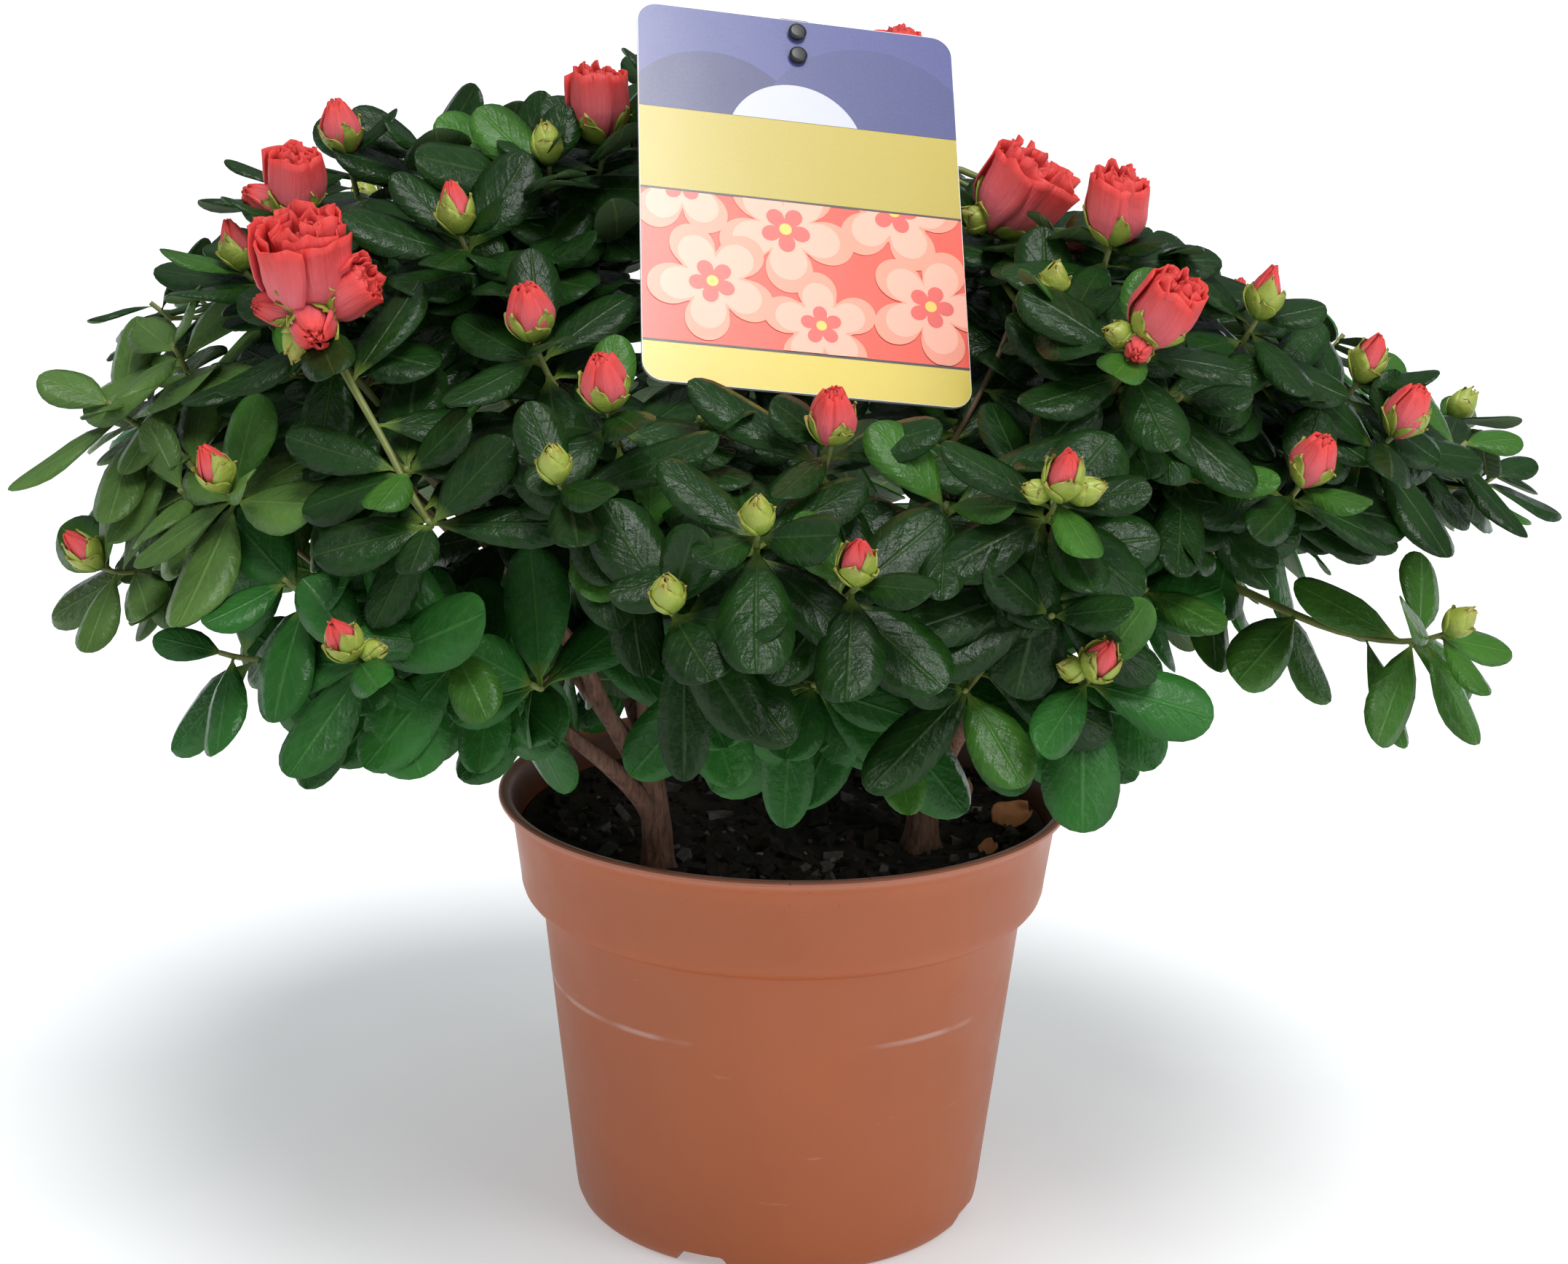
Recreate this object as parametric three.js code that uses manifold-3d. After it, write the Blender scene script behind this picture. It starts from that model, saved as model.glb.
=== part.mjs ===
// A potted azalea in bud: a wide, low evergreen shrub with coral-red flower buds in a terracotta-coloured nursery pot.
// Two woody stems rise out of the peat, fork into boughs just above the rim, and each bough carries leafy sprays
// whose shoots end in a whorl of leaves round a bud. A printed card on a thin stake leans on the crown.
// Millimetres, +Z up, the viewer stands on the -Y side, the origin is the centre of the pot's flat underside.
import * as THREE from "three";
import Module from "manifold-3d";
import { mergeVertices } from "three/addons/utils/BufferGeometryUtils.js";

const wasm = await Module();
wasm.setup();

const GAP = 0.3; // clearance between neighbouring solids
const UP = new THREE.Vector3(0, 0, 1);
const GOLDEN_TURN = 137.508; // degrees between one leaf or shoot and the next

// Pot: a thin-walled nursery pot with a deep collar and a flared lip
const POT = {
  height: 107, lipRadius: 70, wall: 1.5, floor: 4.6, sides: 44,
  footRadius: 48, heelRadius: 50.9, heelHeight: 6,
  collarFoot: 79.5, collarRadius: 64.6, collarTop: 99.5, bodyTopRadius: 59.2,
};
const UNDERSIDE = { padRadius: 12, ringRadius: 42, recess: 2, holes: 6, holeSides: 8, holeRadius: 4.5, holeRing: 28 };
const NOTCH = { count: 4, firstTurn: -110.7, width: 11, height: 4, depth: 9, flare: 2.5 };
const SOIL_LEVEL = 98;
const SOIL_SIDES = 24;

// Crown: a flattened dome over a shallow bowl; turn 0 is +X, -90 is the front, rise is counted from its widest level
const CROWN = { level: 165, halfWidth: 188, halfDepth: 160, domeHeight: 122, bowlDepth: 50 };
const LOWEST_LEAF = 127;
const RIM_CLEAR = { radius: 72, height: 136 };
const OUTERMOST = 1.05; // no leaf reaches further out than this share of the crown's outline
const SIGHT_GAP = { left: -44, right: -20, front: -45, top: 150 }; // the left stem shows between the leaves here

// The two stems: where the foot stands, how far the top leans, radii at the foot flare, above it and at the top
const TRUNKS = [
  { name: "stem_left", foot: [-29, -38], lean: [-3, 3], top: 126, flare: 5.4, radius: 3.9, tip: 2.9 },
  { name: "stem_right", foot: [33, -15], lean: [3, 2], top: 131, flare: 5.2, radius: 3.8, tip: 2.8 },
];
const TRUNK_SIDES = 10;

// The boughs: their stem, the height at which they leave it, where they end in the crown, and how much they arch
const BOUGHS = [
  { name: "bough_left_front", stem: 0, leaves: 116, turn: -129, rise: 25, reach: 0.72, arch: 0.3 },
  { name: "bough_left_low", stem: 0, leaves: 111, turn: -131, rise: -13, reach: 0.6, arch: 0.35 },
  { name: "bough_left_side", stem: 0, leaves: 119, turn: -170, rise: 18, reach: 0.52, arch: 0.35 },
  { name: "bough_rear_left", stem: 0, leaves: 124, turn: 140, rise: 24, reach: 0.5, arch: 0.35 },
  { name: "bough_top_left", stem: 0, leaves: 127, turn: -150, rise: 62, reach: 0.52, arch: 0.4 },
  { name: "bough_front", stem: 1, leaves: 112, turn: -94, rise: 8, reach: 0.58, arch: 0.4 },
  { name: "bough_right_low", stem: 1, leaves: 108, turn: -57, rise: -8, reach: 0.52, arch: 0.3 },
  { name: "bough_right_front", stem: 1, leaves: 118, turn: -62, rise: 32, reach: 0.6, arch: 0.35 },
  { name: "bough_right_side", stem: 1, leaves: 121, turn: -30, rise: 12, reach: 0.58, arch: 0.35 },
  { name: "bough_rear_right", stem: 1, leaves: 126, turn: 35, rise: 24, reach: 0.5, arch: 0.35 },
  { name: "bough_rear", stem: 1, leaves: 130, turn: 92, rise: 26, reach: 0.5, arch: 0.45 },
  { name: "bough_top_right", stem: 1, leaves: 132, turn: -42, rise: 64, reach: 0.5, arch: 0.4 },
];
const BOUGH = { sides: 6, rings: 6, root: 2.5, tip: 1.6, knuckle: 2.2 };

// Blossom stages, from no bud to an open flower: length and width
const BLOOMS = {
  none: null,
  green: { length: 10, width: 7 },
  tipped: { length: 12, width: 8 },
  small: { length: 13, width: 9 },
  half: { length: 17, width: 12.5 },
  open: { length: 21, width: 17 },
};

// The sprays that face the viewer, with their shoots as [turn, rise, reach, bloom], the leading one first.
// The place is the middle of the bloom, or the tip of a shoot that has none.
const FRONT_SPRAYS = [
  { name: "left_side", bough: 2, shoots: [[-158, 23, 0.94, "none"], [-156, 6, 0.92, "tipped"],
    [-155, 31, 0.93, "none"], [-137, 20, 0.93, "tipped"]] },
  { name: "left_low", bough: 1, shoots: [[-120, 6, 0.95, "tipped"], [-138, -1, 0.86, "none"],
    [-131, 10, 0.86, "none"]] },
  { name: "left_shoulder", bough: 2, shoots: [[-152, 49, 1.02, "half"], [-163, 56, 1.02, "small"],
    [-153, 42, 0.98, "tipped"]] },
  { name: "left_flowers", bough: 0, shoots: [[-134, 40, 1.03, "open"], [-120, 24, 0.9, "none"],
    [-116, 19, 0.92, "none"]] },
  { name: "left_front_low", bough: 1, shoots: [[-110, 1, 0.8, "none"], [-115, 6, 0.86, "none"]] },
  { name: "front_left", bough: 5, shoots: [[-104, 33, 0.97, "small"], [-114, 41, 0.93, "small"],
    [-106, 25, 0.98, "green"], [-98, 33, 0.84, "none"]] },
  { name: "front", bough: 5, shoots: [[-92, 21, 1.03, "green"], [-86, 17, 1.02, "tipped"],
    [-97, 14, 1.03, "green"], [-87, 31, 0.94, "small"]] },
  { name: "front_low", bough: 5, shoots: [[-88, 3, 0.8, "none"], [-81, 0, 0.77, "none"], [-97, 5, 0.84, "none"]] },
  { name: "front_right", bough: 7, shoots: [[-73, 24, 1.04, "tipped"], [-79, 23, 0.92, "none"],
    [-73, 12, 0.95, "none"]] },
  { name: "right_low", bough: 6, shoots: [[-70, 7, 0.96, "tipped"], [-76, 1, 0.75, "none"],
    [-62, 13, 0.84, "none"]] },
  { name: "right_front", bough: 8, shoots: [[-49, 24, 0.95, "small"], [-55, 17, 0.85, "none"],
    [-57, 27, 0.86, "none"]] },
  { name: "right_side", bough: 8, shoots: [[-37, 27, 0.97, "small"], [-36, 33, 0.96, "tipped"],
    [-24, 22, 0.93, "none"]] },
  { name: "right_far", bough: 8, shoots: [[-34, 4, 0.93, "green"]] },
  { name: "right_flowers", bough: 7, shoots: [[-62, 39, 1.04, "half"], [-56, 51, 1.01, "half"],
    [-56, 33, 0.9, "none"]] },
  { name: "right_shoulder", bough: 11, shoots: [[-45, 41, 0.98, "tipped"], [-47, 49, 0.92, "none"],
    [-42, 34, 0.88, "none"]] },
  { name: "top_right", bough: 11, shoots: [[-54, 63, 0.88, "open"], [-55, 55, 0.88, "none"],
    [-64, 46, 0.93, "green"]] },
  { name: "top_left", bough: 4, shoots: [[-131, 52, 0.95, "tipped"], [-132, 69, 0.97, "half"],
    [-124, 50, 0.84, "none"]] },
  { name: "top_rear_left", bough: 4, shoots: [[-163, 60, 0.93, "none"], [-145, 63, 0.9, "none"],
    [-132, 63, 0.95, "green"]] },
  { name: "top", bough: 11, shoots: [[41, 80.3, 0.97, "half"], [120, 70, 0.95, "none"], [5, 45, 0.8, "none"]] },
];
// The far side in two rings, which carry on round from the right to the left. The side shoots end spread degrees off
// the leading one over the dome, the first in its own direction, the next a golden turn on.
const REAR_RINGS = [
  { name: "rear_low", from: 16, step: 34.5, rises: [16, 12, 9, 12, 12], reach: 0.89, spread: 15 },
  { name: "rear_high", from: 4, step: 37, rises: [20, 27, 44, 50, 45], reach: 0.92, spread: 15 },
];
const REAR_BOUGHS = [9, 9, 10, 3, 3];
const REAR_BLOOMS = ["green none none", "tipped none half", "half none green", "none half none", "green none none"];

// Shoots and leaves
const TWIG = { sides: 3, stemRings: 4, shootRings: 2, root: 1.5, tip: 1.15 };
const LEAF = { length: 37, width: 21, widest: 0.66, crest: 0.28, thick: 1.2, curl: 1, droop: 0.06, sunk: 0.4 };
const SIBLING_STEP = 6;
const LEAVES_IN_WHORL = 5;
const LEAVES_ON_STEM = 2;
const WHORL_LENGTH = 13;

// Card and its stake
const CARD = {
  width: 70, height: 90, thick: 0.8, corner: 4.5, centre: [1.3, -70.9, 258.7], yaw: 18, lean: 36.9, tilt: 8.2,
};
const STUD = { fromTop: 3.4, spacing: 5.8, shaft: 1, hole: 1.5, head: 2, headThick: 1.2, sides: 8 };
const STAKE = { foot: [9, 10], radius: 1.5, pad: [7, 15, 1.6] };

const radians = THREE.MathUtils.degToRad;

// Seeded random numbers from 0 to 1
function seeded(seed) {
  let state = seed >>> 0;
  return () => {
    state = (state + 0x6d2b79f5) >>> 0;
    let t = state;
    t = Math.imul(t ^ (t >>> 15), t | 1);
    t ^= t + Math.imul(t ^ (t >>> 7), t | 61);
    return ((t ^ (t >>> 14)) >>> 0) / 4294967296;
  };
}

// Closed geometry to solid and back
function solidOf(geometry) {
  const bare = geometry.clone();
  for (const name of Object.keys(bare.attributes)) {
    if (name !== "position") bare.deleteAttribute(name);
  }
  const merged = mergeVertices(bare, 1e-4);
  const made = new wasm.Manifold(
    new wasm.Mesh({
      numProp: 3,
      vertProperties: merged.attributes.position.array,
      triVerts: new Uint32Array(merged.index.array),
    }),
  );
  return made;
}

function geometryOf(solid) {
  const mesh = solid.getMesh();
  const geometry = new THREE.BufferGeometry();
  geometry.setAttribute("position", new THREE.BufferAttribute(new Float32Array(mesh.vertProperties), 3));
  geometry.setIndex(new THREE.BufferAttribute(new Uint32Array(mesh.triVerts), 1));
  return geometry;
}

// The largest piece of a solid, without the loose scraps that a cut can leave
function wholePiece(solid) {
  const pieces = solid.decompose();
  pieces.sort((a, b) => b.volume() - a.volume());
  return pieces[0];
}

function material(color, roughness) {
  return new THREE.MeshStandardMaterial({ color, roughness, metalness: 0 });
}

const MATERIALS = {
  pot: material(0xb0684a, 0.5),
  soil: material(0x2a211c, 0.95),
  bark: material(0x6b4a38, 0.85),
  leaf: material(0x24492a, 0.4),
  card: material(0xe0bf5a, 0.35),
  stake: material(0x1c1c1e, 0.5),
};

const plant = new THREE.Group();

function addNode(name, solid, finish) {
  const mesh = new THREE.Mesh(geometryOf(solid), finish);
  mesh.name = name;
  plant.add(mesh);
}

// A solid of revolution about Z from a closed profile of [radius, height]
function turned(profile, sides) {
  const points = profile.map(([radius, height]) => new THREE.Vector2(radius, height));
  const lathe = new THREE.LatheGeometry(points, sides);
  lathe.rotateX(Math.PI / 2); // the lathe turns about Y
  return solidOf(lathe);
}

function drum(radius, low, high, sides, x, y) {
  const made = new THREE.CylinderGeometry(radius, radius, high - low, sides);
  made.rotateX(Math.PI / 2);
  made.translate(x, y, (low + high) / 2);
  return solidOf(made);
}

function potWallProfile() {
  const { height, lipRadius, collarFoot, collarRadius, collarTop, bodyTopRadius } = POT;
  return [
    [POT.footRadius, 0],
    [POT.heelRadius, POT.heelHeight],
    [bodyTopRadius, collarFoot],
    [bodyTopRadius + 3.4, collarFoot + 1.8],
    [collarRadius, collarFoot + 7.5],
    [collarRadius + 1.7, collarTop],
    [lipRadius, height - 1.4],
    [lipRadius - 0.8, height],
  ];
}

function makePot() {
  const { height, wall, floor, footRadius, heelRadius, heelHeight, collarFoot, collarRadius, collarTop } = POT;
  const inside = [
    [POT.lipRadius - wall - 1.4, height],
    [collarRadius - wall, collarFoot + 7.5],
    [POT.bodyTopRadius - wall, collarFoot + 2.5],
    [heelRadius - wall, heelHeight],
    [heelRadius - wall - 1, floor],
    [0, floor],
  ];
  const under = [
    [0, 0],
    [UNDERSIDE.padRadius, 0],
    [UNDERSIDE.padRadius, UNDERSIDE.recess],
    [UNDERSIDE.ringRadius, UNDERSIDE.recess],
    [UNDERSIDE.ringRadius, 0],
  ];
  let pot = turned([...under, ...potWallProfile(), ...inside], POT.sides);
  for (let i = 0; i < NOTCH.count; i++) {
    const notch = new THREE.Shape([
      new THREE.Vector2(-NOTCH.width / 2, NOTCH.height),
      new THREE.Vector2(-NOTCH.width / 2 - NOTCH.flare, -1),
      new THREE.Vector2(NOTCH.width / 2 + NOTCH.flare, -1),
      new THREE.Vector2(NOTCH.width / 2, NOTCH.height),
    ]);
    const cutter = new THREE.ExtrudeGeometry(notch, { depth: NOTCH.depth, bevelEnabled: false });
    cutter.rotateX(Math.PI / 2);
    cutter.rotateZ(-Math.PI / 2);
    cutter.translate(footRadius + NOTCH.flare, 0, 0);
    cutter.rotateZ(radians(NOTCH.firstTurn + (i * 360) / NOTCH.count));
    pot = pot.subtract(outwards(cutter));
  }
  for (let i = 0; i < UNDERSIDE.holes; i++) {
    const turn = radians((i * 360) / UNDERSIDE.holes);
    const [x, y] = [UNDERSIDE.holeRing * Math.cos(turn), UNDERSIDE.holeRing * Math.sin(turn)];
    pot = pot.subtract(drum(UNDERSIDE.holeRadius, -1, floor + 1, UNDERSIDE.holeSides, x, y));
  }
  return pot;
}

function outwards(geometry) {
  const made = solidOf(geometry);
  if (made.volume() < 0) throw new Error("a cutter is inside out");
  return made;
}

function makeSoil() {
  const { wall, floor, heelRadius, heelHeight, collarFoot, collarRadius, bodyTopRadius } = POT;
  const inner = wall + 2 * GAP;
  const profile = [
    [0, floor + GAP],
    [heelRadius - inner - 1.2, floor + GAP],
    [heelRadius - inner, heelHeight],
    [bodyTopRadius - inner, collarFoot + 3],
    [collarRadius - inner, collarFoot + 8],
    [collarRadius - inner + 1.3, SOIL_LEVEL],
    [0, SOIL_LEVEL],
  ];
  return turned(profile, SOIL_SIDES);
}

// A limb is a list of rings: centre and radius. Rings are carried along the path without twisting.
function limbGeometry(rings, sides, levelFoot = false) {
  const positions = [];
  const index = [];
  let side = null;
  rings.forEach((ring, i) => {
    const before = rings[Math.max(0, i - 1)].at;
    const after = rings[Math.min(rings.length - 1, i + 1)].at;
    const along = levelFoot && i === 0 ? UP.clone() : after.clone().sub(before).normalize();
    if (!side) {
      side = Math.abs(along.z) < 0.9 ? UP.clone() : new THREE.Vector3(1, 0, 0);
    }
    side = side.clone().addScaledVector(along, -side.dot(along)).normalize();
    const across = along.clone().cross(side);
    for (let k = 0; k < sides; k++) {
      const a = (k * 2 * Math.PI) / sides;
      const p = ring.at.clone().addScaledVector(side, ring.radius * Math.cos(a));
      p.addScaledVector(across, ring.radius * Math.sin(a));
      positions.push(p.x, p.y, p.z);
    }
  });
  for (let i = 0; i + 1 < rings.length; i++) {
    for (let k = 0; k < sides; k++) {
      const next = (k + 1) % sides;
      const [a, b, c, d] = [i * sides + k, i * sides + next, (i + 1) * sides + next, (i + 1) * sides + k];
      index.push(a, b, c, a, c, d);
    }
  }
  const last = (rings.length - 1) * sides;
  for (let k = 1; k + 1 < sides; k++) {
    index.push(0, k + 1, k);
    index.push(last, last + k, last + k + 1);
  }
  const geometry = new THREE.BufferGeometry();
  geometry.setAttribute("position", new THREE.Float32BufferAttribute(positions, 3));
  geometry.setIndex(index);
  return geometry;
}

// The same limb, thicker by grow all round and longer at both ends, for cutting its neighbours clear of it
function swollen(rings, grow) {
  const made = rings.map((ring) => ({ at: ring.at.clone(), radius: ring.radius + grow }));
  const [first, last] = [made[0], made[made.length - 1]];
  first.at.addScaledVector(rings[1].at.clone().sub(rings[0].at).normalize(), -grow);
  last.at.addScaledVector(rings[rings.length - 1].at.clone().sub(rings[rings.length - 2].at).normalize(), grow);
  return made;
}

// A point of the crown's outline, and the direction in which a shoot grows there
function crownPoint(turn, rise, reach) {
  const [t, r] = [radians(turn), radians(rise)];
  const tall = rise > 0 ? CROWN.domeHeight : CROWN.bowlDepth;
  return new THREE.Vector3(
    reach * CROWN.halfWidth * Math.cos(r) * Math.cos(t),
    reach * CROWN.halfDepth * Math.cos(r) * Math.sin(t),
    CROWN.level + reach * tall * Math.sin(r),
  );
}

function growthAt(point) {
  const tall = point.z > CROWN.level ? CROWN.domeHeight : CROWN.bowlDepth * 2;
  const out = new THREE.Vector3(
    point.x / CROWN.halfWidth ** 2,
    point.y / CROWN.halfDepth ** 2,
    (point.z - CROWN.level) / tall ** 2,
  ).normalize();
  return out.addScaledVector(UP, 0.5).normalize();
}

// How far out a point lies, where 1 is the crown's outline
function outlineShare(point) {
  const tall = point.z > CROWN.level ? CROWN.domeHeight : CROWN.bowlDepth;
  return Math.hypot(point.x / CROWN.halfWidth, point.y / CROWN.halfDepth, (point.z - CROWN.level) / tall);
}

// Rings along a bend from one point and direction to another
function bend(from, leaving, to, arriving, count, radiusAt) {
  const reach = from.distanceTo(to);
  const curve = new THREE.CubicBezierCurve3(
    from,
    from.clone().addScaledVector(leaving, reach * 0.33),
    to.clone().addScaledVector(arriving, -reach * 0.33),
    to,
  );
  return Array.from({ length: count }, (_, i) => {
    const share = i / (count - 1);
    return { at: curve.getPoint(share), radius: radiusAt(share) };
  });
}

function trunkRings(trunk) {
  const foot = new THREE.Vector3(trunk.foot[0], trunk.foot[1], SOIL_LEVEL + GAP);
  const tall = trunk.top - foot.z;
  const shares = [0, 0.1, 0.25, 0.5, 0.75, 1];
  return shares.map((share) => {
    const flare = (trunk.flare - trunk.radius) * Math.max(0, 1 - share / 0.25) ** 2;
    const [leanX, leanY] = trunk.lean.map((lean) => lean * share ** 1.5);
    return {
      at: new THREE.Vector3(foot.x + leanX, foot.y + leanY, foot.z + tall * share),
      radius: THREE.MathUtils.lerp(trunk.radius, trunk.tip, share) + flare,
    };
  });
}

function pointOnTrunk(rings, height) {
  const above = rings.findIndex((ring) => ring.at.z >= height);
  const [low, high] = above < 1 ? [rings.at(-2), rings.at(-1)] : [rings[above - 1], rings[above]];
  const share = Math.min(1, (height - low.at.z) / (high.at.z - low.at.z));
  return low.at.clone().lerp(high.at, share);
}

function boughRings(bough, trunk) {
  const from = pointOnTrunk(trunk, Math.min(bough.leaves, trunk.at(-1).at.z - 1));
  const to = crownPoint(bough.turn, bough.rise, bough.reach);
  const out = to.clone().sub(from).normalize();
  const leaving = out.clone().addScaledVector(UP, bough.arch).normalize();
  const arriving = out.clone().addScaledVector(UP, -bough.arch * 0.4).normalize();
  const rings = bend(from, leaving, to, arriving, BOUGH.rings, (share) =>
    THREE.MathUtils.lerp(BOUGH.root, BOUGH.tip, share ** 0.8));
  rings.at(-1).radius = BOUGH.knuckle;
  rings.at(-1).at.addScaledVector(arriving, 1);
  return rings;
}

// Every spray with the places of its shoots
function sprayList() {
  const sprays = FRONT_SPRAYS.map(({ name, bough, shoots }) => ({ name, bough, places: shoots }));
  for (const ring of REAR_RINGS) {
    REAR_BOUGHS.forEach((bough, i) => {
      const random = seeded(101 + 17 * sprays.length);
      const [first, ...others] = REAR_BLOOMS[i].split(" ");
      const lead = [ring.from + i * ring.step, ring.rises[i], ring.reach, first];
      const sides = others.map((bloom, k) => {
        const off = ring.spread * (k === 0 ? 1 : 0.9 + 0.25 * random());
        const [turn, rise] = offTurn(lead, off, radians(60 + 77 * i + k * GOLDEN_TURN));
        return [turn, rise, ring.reach * (0.97 + 0.06 * random()), bloom];
      });
      sprays.push({ name: `${ring.name}_${i + 1}`, bough, places: [lead, ...sides] });
    });
  }
  return sprays;
}

// Turn and rise of a place off the leading shoot's, in a direction over the dome
function offTurn([turn, rise], off, angle) {
  const wide = Math.max(0.35, Math.cos(radians(rise)));
  return [turn + (off * Math.cos(angle)) / wide, rise + off * Math.sin(angle)];
}

// Where a shoot ends: at its place in the crown, or half a bloom short of it
function shootEnd([turn, rise, reach, bloom]) {
  const place = crownPoint(turn, rise, reach);
  return place.addScaledVector(growthAt(place), -(BLOOMS[bloom]?.length ?? 0) / 2);
}

// The leading stem leaves the bough at its tip, or a little before it for the bough's further sprays, and the side
// shoots leave the stem on its way
function shootsOf(spray, bough, sibling, random) {
  const [first, ...sides] = spray.places;
  const lead = shootEnd(first);
  const [before, tip] = [bough.at(-2).at, bough.at(-1).at];
  const from = tip.clone().lerp(before, Math.min(0.9, (sibling * SIBLING_STEP) / tip.distanceTo(before)));
  const leavingBough = lead.clone().sub(from).normalize().addScaledVector(UP, 0.15).normalize();
  const stem = bend(from, leavingBough, lead, growthAt(lead), TWIG.stemRings,
    (share) => THREE.MathUtils.lerp(TWIG.root, TWIG.tip, share));
  const shoots = [{ rings: stem, tip: lead, bloom: first[3] }];
  sides.forEach((side, k) => {
    const end = shootEnd(side);
    const share = 0.3 + (0.4 * k) / Math.max(1, sides.length - 1) + 0.05 * random();
    const place = share * (stem.length - 1);
    const ring = Math.min(stem.length - 2, Math.floor(place));
    const start = stem[ring].at.clone().lerp(stem[ring + 1].at, place - ring);
    const along = stem[ring + 1].at.clone().sub(stem[ring].at).normalize();
    const leaving = end.clone().sub(start).normalize().multiplyScalar(0.6).add(along).normalize();
    const rings = bend(start, leaving, end, growthAt(end), TWIG.shootRings,
      (s) => THREE.MathUtils.lerp(TWIG.root * 0.85, TWIG.tip, s));
    rings.splice(1, 0, { at: rings[0].at.clone().lerp(rings[1].at, 0.06), radius: rings[0].radius });
    rings[0].radius = TWIG.root * 0.3;
    shoots.push({ rings, tip: end, bloom: side[3] });
  });
  return shoots;
}

// The card stands on local axes: X across, Z up, its face towards -Y
const cardFrame = new THREE.Matrix4()
  .makeRotationZ(radians(CARD.yaw))
  .multiply(new THREE.Matrix4().makeRotationX(radians(-CARD.lean)))
  .multiply(new THREE.Matrix4().makeRotationY(radians(CARD.tilt)))
  .setPosition(new THREE.Vector3(...CARD.centre));
const intoCard = cardFrame.clone().invert();

// True where a leaf would touch the card or stand in front of it
function hidesCard(point) {
  const local = point.clone().applyMatrix4(intoCard);
  const margin = 2;
  return Math.abs(local.x) < CARD.width / 2 + margin && Math.abs(local.z) < CARD.height / 2 + margin
    && local.y < 2.5 && local.y > -70;
}

// True where a leaf would hang between the viewer and the left stem
function hidesStem({ x, y, z }) {
  return x > SIGHT_GAP.left && x < SIGHT_GAP.right && y < SIGHT_GAP.front && z < SIGHT_GAP.top;
}

// A leaf grows from root along direction, with its upper face towards face. It is widest past the middle, and its
// margins and end curl down from the crest of its midrib; its root is sunk in the twig.
function leafCorners(root, direction, face, length) {
  const across = direction.clone().cross(face).normalize();
  const width = (length * LEAF.width) / LEAF.length;
  const at = (along, side, lift) => root.clone().addScaledVector(direction, along * length)
    .addScaledVector(across, (side * width) / 2).addScaledVector(face, lift);
  return {
    root: at(-LEAF.sunk / length, 0, 0),
    crest: at(LEAF.crest, 0, LEAF.thick),
    left: at(LEAF.widest, -1, -LEAF.curl),
    right: at(LEAF.widest, 1, -LEAF.curl),
    end: at(1, 0, -LEAF.droop * length),
  };
}

function leafGeometry({ root, crest, left, right, end }) {
  const geometry = new THREE.BufferGeometry();
  const corners = [root, crest, left, right, end].flatMap((p) => p.toArray());
  geometry.setAttribute("position", new THREE.Float32BufferAttribute(corners, 3));
  geometry.setIndex([0, 1, 2, 0, 3, 1, 1, 4, 2, 1, 3, 4, 0, 2, 3, 2, 4, 3]);
  return geometry;
}

function leafSamples({ root, left, right, end }) {
  const rim = [left, left.clone().lerp(end, 0.5), end, end.clone().lerp(right, 0.5), right];
  return rim.flatMap((p) => [0.25, 0.45, 0.65, 0.85, 1].map((share) => root.clone().lerp(p, share)));
}

function bloomSolid({ bloom, tip }, grow = 0) {
  const length = BLOOMS[bloom].length + grow;
  const radius = BLOOMS[bloom].width / 2 + grow;
  const wide = radius > 5;
  const middle = wide ? [[radius * 0.6, length * 0.1], [radius, length * 0.5], [radius * 0.75, length * 0.88]]
    : [[radius, length * 0.3], [radius * 0.7, length * 0.75]];
  const profile = [[0, -1.5 - grow], ...middle, [0, length]];
  const bud = new THREE.LatheGeometry(profile.map(([r, z]) => new THREE.Vector2(r, z)), wide ? 7 : 5);
  bud.rotateX(Math.PI / 2);
  bud.applyQuaternion(new THREE.Quaternion().setFromUnitVectors(UP, growthAt(tip)));
  bud.translate(tip.x, tip.y, tip.z);
  return solidOf(bud);
}

// Solids that other nodes keep clear of, each with the name of what it belongs to
const taken = [];

function takes(owner, solid) {
  taken.push({ owner, solid, box: solid.boundingBox() });
}

function meets(solid, box, other) {
  for (let i = 0; i < 3; i++) {
    if (box.min[i] > other.box.max[i] || box.max[i] < other.box.min[i]) return false;
  }
  return !solid.intersect(other.solid).isEmpty();
}

// What of the other nodes a solid would touch, or undefined
function obstacle(solid, owner) {
  const box = solid.boundingBox();
  return taken.find((other) => other.owner !== owner && meets(solid, box, other));
}

function crosses(solid, others) {
  const box = solid.boundingBox();
  return others.some((other) => meets(solid, box, { solid: other, box: other.boundingBox() }));
}

// A point is in a spray's own space if one of that spray's shoots is the nearest of all, by a margin
function inOwnSpace(point, owner) {
  let own = Infinity;
  let others = Infinity;
  for (const site of sites) {
    const distance = point.distanceTo(site.at);
    if (site.owner === owner) own = Math.min(own, distance);
    else others = Math.min(others, distance);
  }
  return own + 2 * GAP < others;
}

function leafFits(corners, owner) {
  return leafSamples(corners).every((p) => {
    if (p.z < LOWEST_LEAF || outlineShare(p) > OUTERMOST || hidesCard(p) || hidesStem(p)) return false;
    if (p.z < RIM_CLEAR.height && Math.hypot(p.x, p.y) < RIM_CLEAR.radius) return false;
    return inOwnSpace(p, owner);
  });
}

// The point a given way back from the end of a limb
function pointBack(rings, back) {
  let left = back;
  for (let i = rings.length - 1; i > 0; i--) {
    const run = rings[i].at.distanceTo(rings[i - 1].at);
    if (left <= run) return rings[i].at.clone().lerp(rings[i - 1].at, left / run);
    left -= run;
  }
  return rings[0].at.clone();
}

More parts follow.
